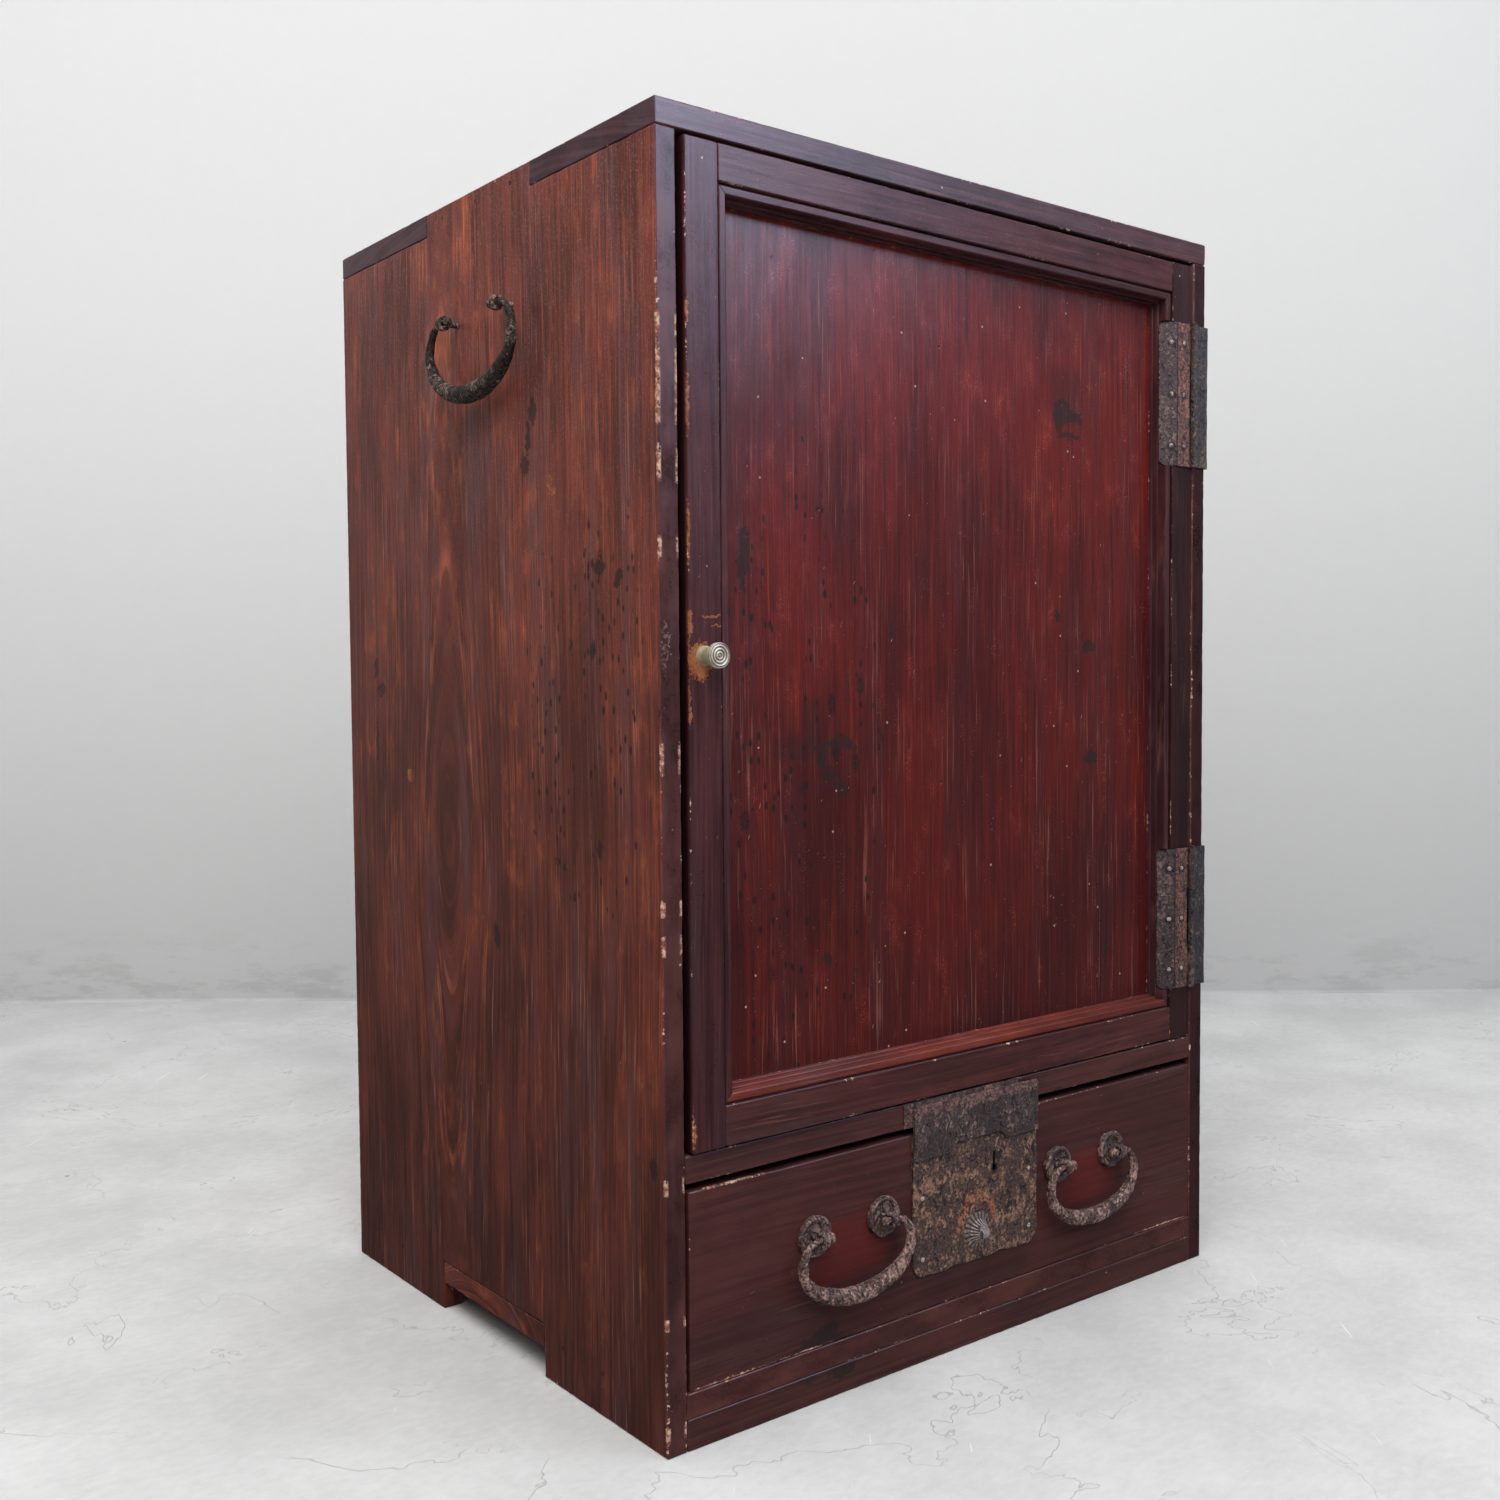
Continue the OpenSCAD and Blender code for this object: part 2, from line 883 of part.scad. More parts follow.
module moulding_right() {
    color(DARK_LACQUER) at_door()
        difference() {
            translate([frame_x1, 0, frame_z0])
                rotate([0, -90, 0])
                    moulding_strip(frame_z1 - frame_z0);
            fold_seat();
            door_nail_places()
                nail_hole();
        }
}

module door_knob() {
    rim = 2.4;
    groove = 0.35;
    color(NICKEL) at_door()
        translate([knob_x, 0, knob_z])
            rotate([90, 0, 0])
                rotate_extrude()
                    polygon([
                        [0, -door_t - nut_t],
                        [knob_shank_r, -door_t - nut_t],
                        [knob_shank_r, 0],
                        [knob_neck_r, 0],
                        [knob_neck_r, knob_l * 0.22],
                        [knob_neck_r - 0.6, knob_l * 0.28],
                        [knob_neck_r - 0.6, knob_l - rim - 2.4],
                        [knob_r, knob_l - rim],
                        [knob_r, knob_l - 0.5],
                        [knob_r - 0.5, knob_l],
                        [knob_r * 0.72, knob_l],
                        [knob_r * 0.66, knob_l - groove],
                        [knob_r * 0.56, knob_l - groove],
                        [knob_r * 0.5, knob_l],
                        [knob_r * 0.36, knob_l],
                        [knob_r * 0.3, knob_l - groove],
                        [knob_r * 0.2, knob_l - groove],
                        [knob_r * 0.14, knob_l],
                        [0, knob_l]
                    ]);
}

module knob_nut() {
    color(WORN_IRON) at_door()
        translate([knob_x, door_t, knob_z])
            rotate([-90, 0, 0])
                difference() {
                    cylinder(r = nut_r, h = nut_t, $fn = 6);
                    translate([0, 0, -over])
                        cylinder(r = knob_shank_r + peg_fit, h = nut_t + 2 * over);
                }
}

/* Drawer */

module drawer_side_blank(x0) {
    block([x0, drawer_lap, drawer_side_z], [x0 + drawer_side_t, drawer_d, drawer_side_top]);
}

module drawer_bottom_blank() {
    block([drawer_x0, drawer_lap, drawer_z], [drawer_x1, drawer_d, drawer_side_z]);
}

// Pegs through the drawer sides into the front and the back
module drawer_peg_places() {
    for (y = [(drawer_lap + drawer_front_t) / 2, drawer_d - drawer_side_t / 2]) {
        for (z = finger_thirds(drawer_side_z, drawer_side_top - drawer_back_drop)) {
            translate([drawer_x0, y, z])
                rotate([0, 90, 0])
                    children();
            translate([drawer_x1, y, z])
                rotate([0, -90, 0])
                    children();
        }
    }
}

module drawer_peg_holes() {
    drawer_peg_places()
        translate([0, 0, -over])
            cylinder(r = peg_r + peg_fit, h = peg_l + over);
}

module drawer_pegs() {
    color(BARE_WOOD) at_case()
        drawer_peg_places()
            cylinder(r = peg_r, h = peg_l);
}

module drawer_front() {
    color(LACQUER) at_case()
        difference() {
            block([drawer_x0, 0, drawer_z], [drawer_x1, drawer_front_t, drawer_top_z]);
            drawer_side_blank(drawer_x0);
            drawer_side_blank(drawer_x1 - drawer_side_t);
            drawer_bottom_blank();
            drawer_peg_holes();
            block([lock_x - body_half, -over, lock_body_z0], [lock_x + body_half, lock_depth, lock_body_z1]);
            tongue_slot(lock_body_z1 - over, drawer_top_z + over);
            lock_nail_places()
                nail_hole();
            drawer_eye_places()
                eye_stem_hole();
            stud_hole();
        }
}

module drawer_side(x0) {
    color(BARE_WOOD) at_case()
        difference() {
            drawer_side_blank(x0);
            drawer_peg_holes();
        }
}

module drawer_side_left() {
    drawer_side(drawer_x0);
}

module drawer_side_right() {
    drawer_side(drawer_x1 - drawer_side_t);
}

module drawer_back() {
    color(BARE_WOOD) at_case()
        difference() {
            block([drawer_x0 + drawer_side_t, drawer_d - drawer_side_t, drawer_side_z],
                [drawer_x1 - drawer_side_t, drawer_d, drawer_side_top - drawer_back_drop]);
            drawer_peg_holes();
        }
}

module drawer_bottom() {
    color(BARE_WOOD) at_case()
        drawer_bottom_blank();
}

/* Lock */

// The plate has round lower corners and two shallow hollows along its bottom edge
module lock_plate() {
    corner = 9;
    hollow_r = 14.2;
    hollow_depth = 1.2;
    color(WORN_IRON) at_case()
        difference() {
            translate([lock_x, 0, lock_z0])
                rotate([90, 0, 0])
                    linear_extrude(lock_plate_t)
                        difference() {
                            union() {
                                translate([-lock_w / 2, corner])
                                    square([lock_w, lock_z1 - lock_z0 - corner]);
                                translate([corner - lock_w / 2, 0])
                                    square([lock_w - 2 * corner, corner + over]);
                                for (side = [-1, 1]) {
                                    translate([side * (lock_w / 2 - corner), corner])
                                        circle(r = corner);
                                }
                            }
                            for (side = [-1, 1]) {
                                translate([side * lock_w * 0.19, hollow_depth - hollow_r])
                                    circle(r = hollow_r);
                            }
                            translate([key_shift, key_z - lock_z0])
                                keyhole();
                        }
            lock_nail_places()
                nail_hole();
            stud_hole();
        }
}

// A round hole with a slit above it
module keyhole() {
    slit_w = 1.4;
    slit_h = 9.5;
    circle(r = 1.9);
    translate([-slit_w / 2, 0])
        square([slit_w, slit_h]);
}

// The cover's lower edge rises in an ogee over the keyhole
module lock_cover() {
    rise = 5;
    half = 22;
    color(IRON) at_case()
        translate([lock_x, -lock_plate_t, cover_z0])
            rotate([90, 0, 0])
                linear_extrude(cover_t)
                    difference() {
                        translate([-lock_w / 2, 0])
                            square([lock_w, cover_h]);
                        translate([-half + rise, -over])
                            square([2 * (half - rise), rise + over]);
                        for (side = [-1, 1]) {
                            translate([side * (half - rise), 0])
                                intersection() {
                                    circle(r = rise);
                                    translate([-rise, -over])
                                        square([2 * rise, rise + over]);
                                }
                        }
                        for (side = [-1, 1]) {
                            translate([side * lock_w / 2, cover_h])
                                rotate(45)
                                    square(2.8, center = true);
                        }
                    }
}

module lock_body() {
    color(IRON) at_case() {
        difference() {
            block([lock_x - body_half, 0, lock_body_z0], [lock_x + body_half, lock_depth, lock_body_z1]);
            block([lock_x - body_half + lock_wall, -over, lock_body_z0 + lock_wall],
                [lock_x + body_half - lock_wall, lock_depth - lock_wall, lock_body_z1 - lock_wall]);
            tongue_slot(lock_body_z1 - 2 * lock_wall, lock_body_z1 + over);
        }
        for (side = [-1, 1]) {
            x = lock_x + side * (bolt_half - bolt_rest / 2);
            block([x - bolt_rest / 2, bolt_y, bolt_z - slide_gap - bolt_rest],
                [x + bolt_rest / 2, lock_depth, bolt_z - slide_gap]);
        }
        bar_y([lock_x + key_shift, lock_wall / 2, key_z], key_pin_r, lock_depth - lock_wall);
    }
}

module lock_bolt() {
    color(WORN_IRON) at_case() {
        block([lock_x - bolt_half, bolt_y, bolt_z],
            [lock_x + bolt_half, bolt_y + bolt_t, bolt_z + bolt_h]);
        block([lock_x - tongue_half, bolt_y, bolt_z + bolt_h / 2],
            [lock_x + tongue_half, bolt_y + bolt_t, drawer_top_z - slide_gap]);
    }
}

// The way of the bolt's tongue through a board, from one height to another
module tongue_slot(z0, z1) {
    block([lock_x - tongue_half - loose_fit, bolt_y - loose_fit, z0],
        [lock_x + tongue_half + loose_fit, bolt_y + bolt_t + loose_fit, z1]);
}

module lock_nail_places() {
    inset = 7;
    low = 10;
    high = 44;
    for (side = [-1, 1], z = [lock_z0 + low, lock_z0 + high]) {
        translate([lock_x + side * (lock_w / 2 - inset), -lock_plate_t, z])
            rotate([90, 0, 0])
                children();
    }
}

module lock_nails() {
    color(WORN_IRON) at_case()
        lock_nail_places()
            nail();
}

stud_rise = 17;
stud_z = lock_z0 + stud_rise;
petals = 16;
stud_r = 10;
stud_ball_r = 4.3;
stud_ball_h = 6.2;

module stud_hole() {
    bar_y([lock_x, -lock_plate_t - over, stud_z], shank_r + peg_fit, drawer_front_t / 2 + over);
}

// A flower stud with rounded petals round a ball in the middle
module lock_rosette() {
    color(IRON) at_case()
        translate([lock_x, -lock_plate_t, stud_z])
            rotate([90, 0, 0]) {
                cylinder(r = stud_r * 0.8, h = 1);
                for (k = [0 : petals - 1]) {
                    rotate(k * 360 / petals)
                        translate([stud_r * 0.72, 0, 0])
                            nail_head(stud_r * 0.25, 1.8);
                }
                nail_head(stud_ball_r, stud_ball_h);
                translate([0, 0, -drawer_front_t / 2])
                    cylinder(r = shank_r, h = drawer_front_t / 2 + over);
            }
}

/* Handles */

// Each place faces out of the drawer front along -Y
module drawer_eye_places() {
    for (side = [-1, 1], end = [-1, 1]) {
        translate([body_w / 2 + side * handle_spread + end * eye_gap / 2, 0, eye_z])
            children();
    }
}

// Each place faces out of the left side board, turned so that it stands like a drawer eye
module left_eye_places() {
    for (end = [-1, 1]) {
        translate([0, side_handle_y + end * side_eye_gap / 2, side_eye_z])
            rotate([0, 0, -90])
                children();
    }
}

// The stem of an eye goes back through the wood along +Y
module eye_stem_hole() {
    bar_y([0, -over, 0], eye_stem_r, max(drawer_front_t, side_t) + 2 * over);
}

module eye(proud, wood) {
    difference() {
        union() {
            bar_x([-eye_w / 2, -proud, 0], eye_r, eye_w);
            bar_y([0, -proud + eye_hole_r, 0], eye_stem_r - peg_fit, proud - eye_hole_r + wood);
        }
        bar_x([-eye_w, -proud, 0], eye_hole_r, 2 * eye_w);
    }
    block([-clench_l / 2, wood, -eye_stem_r], [clench_l / 2, wood + clench_t, eye_stem_r]);
}

module drawer_eyes() {
    color(IRON) at_case()
        drawer_eye_places()
            eye(eye_proud, drawer_front_t);
}

module side_eyes_left() {
    color(IRON) at_case()
        left_eye_places()
            eye(side_eye_proud, side_t);
}

module side_eyes_right() {
    color(IRON) at_case()
        mirrored_case()
            left_eye_places()
                eye(side_eye_proud, side_t);
}

// A dished round plate with a raised rim behind each drawer eye
module handle_rosettes() {
    dish = 0.9;
    rim_w = 1.4;
    color(WORN_IRON) at_case()
        drawer_eye_places()
            rotate([90, 0, 0])
                rotate_extrude()
                    polygon([
                        [eye_stem_r, 0],
                        [rosette_r, 0],
                        [rosette_r, rosette_h * 0.55],
                        [rosette_r - 0.5, rosette_h * 0.85],
                        [rosette_r - rim_w * 0.8, rosette_h],
                        [rosette_r - rim_w * 1.6, rosette_h * 0.9],
                        [rosette_r * 0.55, dish + 0.5],
                        [eye_stem_r + over, dish],
                        [eye_stem_r, dish]
                    ]);
}

// A handle hangs from its eyes: half-way points across, down and the bar's radius there
arm_run = 3.6;
function arm_share(drop) = drop * 0.33;
function bail_upper(gap, w, drop, s) = [
    gap / 2 + arm_run + (w / 2 - 3 - gap / 2 - arm_run) * sin(s),
    arm_share(drop) * (1 - cos(s)),
    bail_end_r + 1.2 * s / 90
];
function bail_lower(w, drop, t, a) = [
    (w / 2 - 3) * cos(a),
    arm_share(drop) + (drop - t / 2 - arm_share(drop)) * sin(a),
    3 + (t / 2 - 3) * pow(sin(a), 1.4)
];
function bail_path(gap, w, drop, t) = concat(
    [for (s = [0 : 15 : 90]) let (p = bail_upper(gap, w, drop, s)) [-p[0], p[1], p[2]]],
    [for (a = [10 : 10 : 170]) let (p = bail_lower(w, drop, t, a)) [-p[0], p[1], p[2]]],
    [for (s = [90 : -15 : 0]) bail_upper(gap, w, drop, s)]
);

bar_sides = 14;

// Rings along the path, each square to it, joined to one closed skin
function unit2(v) = v / norm(v);
function bar_ring(path, k) = let (
    last = len(path) - 1,
    along = unit2([
        path[min(k + 1, last)][0] - path[max(k - 1, 0)][0],
        path[min(k + 1, last)][1] - path[max(k - 1, 0)][1]
    ])
) [for (j = [0 : bar_sides - 1]) let (turn = 360 * j / bar_sides, r = path[k][2]) [
    path[k][0] - along[1] * r * cos(turn),
    r * sin(turn),
    -path[k][1] - along[0] * r * cos(turn)
]];

module swept_bar(path) {
    rings = len(path);
    n = bar_sides;
    polyhedron(
        points = [for (k = [0 : rings - 1]) each bar_ring(path, k)],
        faces = concat(
            [[for (j = [0 : n - 1]) j]],
            [for (k = [0 : rings - 2], j = [0 : n - 1])
                [k * n + j, (k + 1) * n + j, (k + 1) * n + (j + 1) % n, k * n + (j + 1) % n]],
            [[for (j = [n - 1 : -1 : 0]) (rings - 1) * n + j]]
        )
    );
}

// The bar, its two round ends through the eyes and their balls
module bail(gap, w, drop, t) {
    swept_bar(bail_path(gap, w, drop, t));
    for (side = [-1, 1]) {
        ball_x = side * (gap / 2 - ball_in);
        translate([ball_x, 0, 0])
            sphere(r = ball_r);
        bar_x([min(ball_x, side * (gap / 2 + arm_run + 0.3)), 0, 0], bail_end_r,
            abs(side * (gap / 2 + arm_run + 0.3) - ball_x));
    }
}

module drawer_bail(side) {
    color(WORN_IRON) at_case()
        translate([body_w / 2 + side * handle_spread, -eye_proud, eye_z])
            bail(eye_gap, bail_w, bail_drop, bail_t);
}

module drawer_bail_left() {
    drawer_bail(-1);
}

module drawer_bail_right() {
    drawer_bail(1);
}

module side_bail_left() {
    color(WORN_IRON) at_case()
        translate([-side_eye_proud, side_handle_y, side_eye_z])
            rotate([0, 0, -90])
                bail(side_eye_gap, side_bail_w, side_bail_drop, side_bail_t);
}

module side_bail_right() {
    color(WORN_IRON) at_case()
        translate([body_w + side_eye_proud, side_handle_y, side_eye_z])
            rotate([0, 0, 90])
                bail(side_eye_gap, side_bail_w, side_bail_drop, side_bail_t);
}

side_board_left();
side_board_right();
top_board();
bottom_board();
base_rail();
mid_rail();
compartment_floor();
back_board_left();
back_board_right();
joint_pegs();
back_pegs();
shelf();
shelf_batten_left();
shelf_batten_right();
door_stop_upper();
door_stop_lower();
drawer_stops();
strike_plate();
hinge_upper_case_leaf();
hinge_lower_case_leaf();
hinge_upper_pin();
hinge_lower_pin();
case_leaf_nails();
side_eyes_left();
side_eyes_right();
door_stile_left();
door_stile_right();
door_rail_top();
door_rail_bottom();
door_panel();
moulding_top();
moulding_bottom();
moulding_left();
moulding_right();
door_knob();
knob_nut();
hinge_upper_door_leaf();
hinge_lower_door_leaf();
door_leaf_nails();
drawer_front();
drawer_side_left();
drawer_side_right();
drawer_back();
drawer_bottom();
drawer_pegs();
lock_plate();
lock_cover();
lock_body();
lock_bolt();
lock_nails();
lock_rosette();
handle_rosettes();
drawer_eyes();
drawer_bail_left();
drawer_bail_right();
side_bail_left();
side_bail_right();
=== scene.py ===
# The looks of a small Japanese tea chest: worn red-brown lacquer over softwood, rusted iron
# fittings and one pale turned knob. Lengths in the finishes are millimetres from the case's left
# front foot.
import json
import math
import bmesh
import bpy
from mathutils import Matrix, Vector, noise

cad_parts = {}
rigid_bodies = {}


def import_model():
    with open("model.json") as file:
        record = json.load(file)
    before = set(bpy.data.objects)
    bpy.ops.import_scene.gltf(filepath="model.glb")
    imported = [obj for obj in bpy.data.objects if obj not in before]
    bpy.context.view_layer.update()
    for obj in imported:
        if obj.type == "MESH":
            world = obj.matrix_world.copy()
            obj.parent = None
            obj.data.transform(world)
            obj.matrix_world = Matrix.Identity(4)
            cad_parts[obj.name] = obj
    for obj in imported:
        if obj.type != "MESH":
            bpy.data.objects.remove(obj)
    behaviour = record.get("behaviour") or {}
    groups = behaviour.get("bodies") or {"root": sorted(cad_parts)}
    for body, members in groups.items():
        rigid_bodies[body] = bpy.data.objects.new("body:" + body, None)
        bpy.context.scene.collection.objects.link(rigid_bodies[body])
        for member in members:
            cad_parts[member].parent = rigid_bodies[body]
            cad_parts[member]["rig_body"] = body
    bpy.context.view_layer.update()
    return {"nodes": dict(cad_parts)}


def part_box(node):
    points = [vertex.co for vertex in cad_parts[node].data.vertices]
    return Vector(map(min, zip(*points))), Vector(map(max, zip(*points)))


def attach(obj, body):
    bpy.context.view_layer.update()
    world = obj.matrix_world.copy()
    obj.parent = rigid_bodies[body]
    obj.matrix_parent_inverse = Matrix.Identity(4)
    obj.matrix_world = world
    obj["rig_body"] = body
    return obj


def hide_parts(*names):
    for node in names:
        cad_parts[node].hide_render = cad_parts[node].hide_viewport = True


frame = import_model()

# The two side boards: softwood planks with upright grain that run down to the floor as feet.
# Finger-jointed to the top and bottom, stained and lacquered red-brown, and rubbed pale at the
# arrises, most of all where hands and doorways have caught the near front edge.
MM = 1000
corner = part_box("side_board_left")[0]
case_h = ((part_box("side_board_right")[1] - corner) * MM).z


def paint(code):
    """A colour from its usual six-figure code, as the light that it gives back."""
    parts = [int(code[k:k + 2], 16) / 255 for k in (0, 2, 4)]
    light = [p / 12.92 if p < 0.04045 else ((p + 0.055) / 1.055) ** 2.4 for p in parts]
    return (*light, 1)


class Tone:
    """One output of a finish's nodes: a value, a place or a colour that varies over the surface."""

    def __init__(self, tree, socket):
        self.tree = tree
        self.socket = socket

    def node(self, kind, sockets=(), out=0, **settings):
        made = self.tree.nodes.new(kind)
        for name, setting in settings.items():
            setattr(made, name, setting)
        for place, value in dict(sockets).items():
            if isinstance(value, Tone):
                self.tree.links.new(value.socket, made.inputs[place])
            else:
                made.inputs[place].default_value = value
        return Tone(self.tree, made.outputs[out])

    def sum(self, operation, *values):
        kind = "ShaderNodeVectorMath" if self.socket.type == "VECTOR" else "ShaderNodeMath"
        return self.node(kind, enumerate(values), operation=operation)

    def __add__(self, other):
        return self.sum("ADD", self, other)

    __radd__ = __add__

    def __sub__(self, other):
        return self.sum("SUBTRACT", self, other)

    def __rsub__(self, other):
        return self.sum("SUBTRACT", other, self)

    def __mul__(self, other):
        return self.sum("MULTIPLY", self, other)

    __rmul__ = __mul__

    def __truediv__(self, other):
        return self.sum("DIVIDE", self, other)

    def __pow__(self, other):
        return self.sum("POWER", self, other)

    def least(self, other):
        return self.sum("MINIMUM", self, other)

    def most(self, other):
        return self.sum("MAXIMUM", self, other)

    def parts(self):
        """The three lengths that a place is made of."""
        return [self.node("ShaderNodeSeparateXYZ", {0: self}, out=k) for k in range(3)]

    def placed(self, second, third=0.0):
        """A place made of this length and two more."""
        return self.node("ShaderNodeCombineXYZ", {0: self, 1: second, 2: third})

    def rise(self, low, high):
        """0 below low, 1 above high, and smooth in between."""
        return self.node("ShaderNodeMapRange", {0: self, 1: low, 2: high, 3: 0.0, 4: 1.0},
                         interpolation_type="SMOOTHSTEP")

    def clouds(self, size=1.0, detail=2.0, rough=0.5, warp=0.0):
        """Soft noise round 0.5, with one cloud to each size, a length or one for each axis."""
        at = self / (size if isinstance(size, tuple) else (size,) * 3)
        return at.node("ShaderNodeTexNoise",
                       {"Vector": at, "Scale": 1.0, "Detail": detail, "Roughness": rough,
                        "Distortion": warp})

    def dots(self, size, radius, share, seed=0.0):
        """1 in small scattered dots of one radius, in a share of the cells of one size."""
        cell = (self + (seed, 0, 0)) / (size, size, size)
        cells = {"Vector": cell, "Scale": 1.0}
        near = cell.node("ShaderNodeTexVoronoi", cells)
        lot = cell.node("ShaderNodeTexVoronoi", cells, out="Color").parts()[0]
        rim = radius / size
        return near.rise(rim * 1.4, rim * 0.7) * lot.rise(1 - share, 1.001 - share)

    def turned(self, angle):
        """A place turned round its third axis."""
        return self.node("ShaderNodeVectorRotate",
                         {"Vector": self, "Angle": angle, "Axis": (0, 0, 1)})

    def unsigned(self):
        """A value without its sign."""
        return self.sum("ABSOLUTE", self)

    def tint(self, low, high):
        """The colour low where this value is 0, and high over it where it is 1."""
        return self.node("ShaderNodeMix", {0: self, 6: low, 7: high}, out=2, data_type="RGBA")

    def lit(self, strength):
        """A colour made lighter or darker."""
        return self.node("ShaderNodeVectorMath", {0: self, 3: strength}, operation="SCALE")


# The hinge pin's middle and how far the door hangs open at rest
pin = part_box("hinge_upper_pin")
pin_mm = ((pin[0] + pin[1]) / 2 - corner) * MM
door_swing = math.radians(0.4)


def start_finish(name, swing=0.0):
    """A new material, and the place on the case, in millimetres, of each point of its surface. The
    door rests slightly open, so a swing turns its places back square to the case."""
    finish = bpy.data.materials.new(name)
    finish.use_nodes = True
    tree = finish.node_tree
    place = Tone(tree, tree.nodes.new("ShaderNodeTexCoord").outputs["Object"])
    place = (place - tuple(corner)) * (MM, MM, MM)
    if swing:
        place = place.node("ShaderNodeVectorRotate",
                           {"Vector": place, "Center": tuple(pin_mm), "Axis": (0, 0, 1),
                            "Angle": -swing})
    return finish, place


def end_finish(finish, colour, rough, height, depth, shine, **shader):
    """Puts colour, roughness and relief on the shader. depth is the relief's height in millimetres,
    and shine is how much light the bare surface mirrors."""
    tree = finish.node_tree
    surface = next(n for n in tree.nodes if n.type == "BSDF_PRINCIPLED")
    relief = height.node("ShaderNodeBump",
                         {"Height": height, "Distance": depth / MM, "Strength": 1.0})
    shader |= {"Base Color": colour, "Roughness": rough, "Normal": relief,
               "Specular IOR Level": shine}
    for name, value in shader.items():
        if isinstance(value, Tone):
            tree.links.new(value.socket, surface.inputs[name])
        else:
            surface.inputs[name].default_value = value
    return finish


def box_mm(node, swing=0.0):
    """A piece's lowest and highest corners on the case, in millimetres, with the door square."""
    turn = Matrix.Rotation(-swing, 3, "Z")
    points = [turn @ ((v.co - corner) * MM - pin_mm) + pin_mm
              for v in frame["nodes"][node].data.vertices]
    return [[end(p[k] for p in points) for k in range(3)] for end in (min, max)]


def edge_distance(place, node, swing=0.0):
    """Distance to the nearest arris of a board, for a point on its surface."""
    near = [(p - a).least(b - p) for p, a, b in zip(place.parts(), *box_mm(node, swing))]
    return near[0].least(near[1]).most(near[0].most(near[1]).least(near[2]))


def spots(across, along, place, places, stray=3.0):
    """1 inside any of some ragged spots. Each has its place and its half width and height; stray is
    how far their outlines wander, in millimetres."""
    bends = [(place + (40 * k, 0, 9 * k)).clouds(stray * 2.6, detail=4, rough=0.62)
             for k in (0, 1)]
    across, along = [axis + (bend - 0.5) * stray * 4 for axis, bend in zip((across, along), bends)]
    torn = (place.clouds(stray * 0.9, detail=3, rough=0.6) - 0.5) * 2.4
    inside = across * 0
    for a, b, half_a, half_b in places:
        reach = ((across - a) / half_a) ** 2.0 + ((along - b) / half_b) ** 2.0
        inside = inside.most(1 - (reach + torn).rise(0.75, 1.15))
    return inside


plain_gloss = 0.42
height_of_true_colour = 400


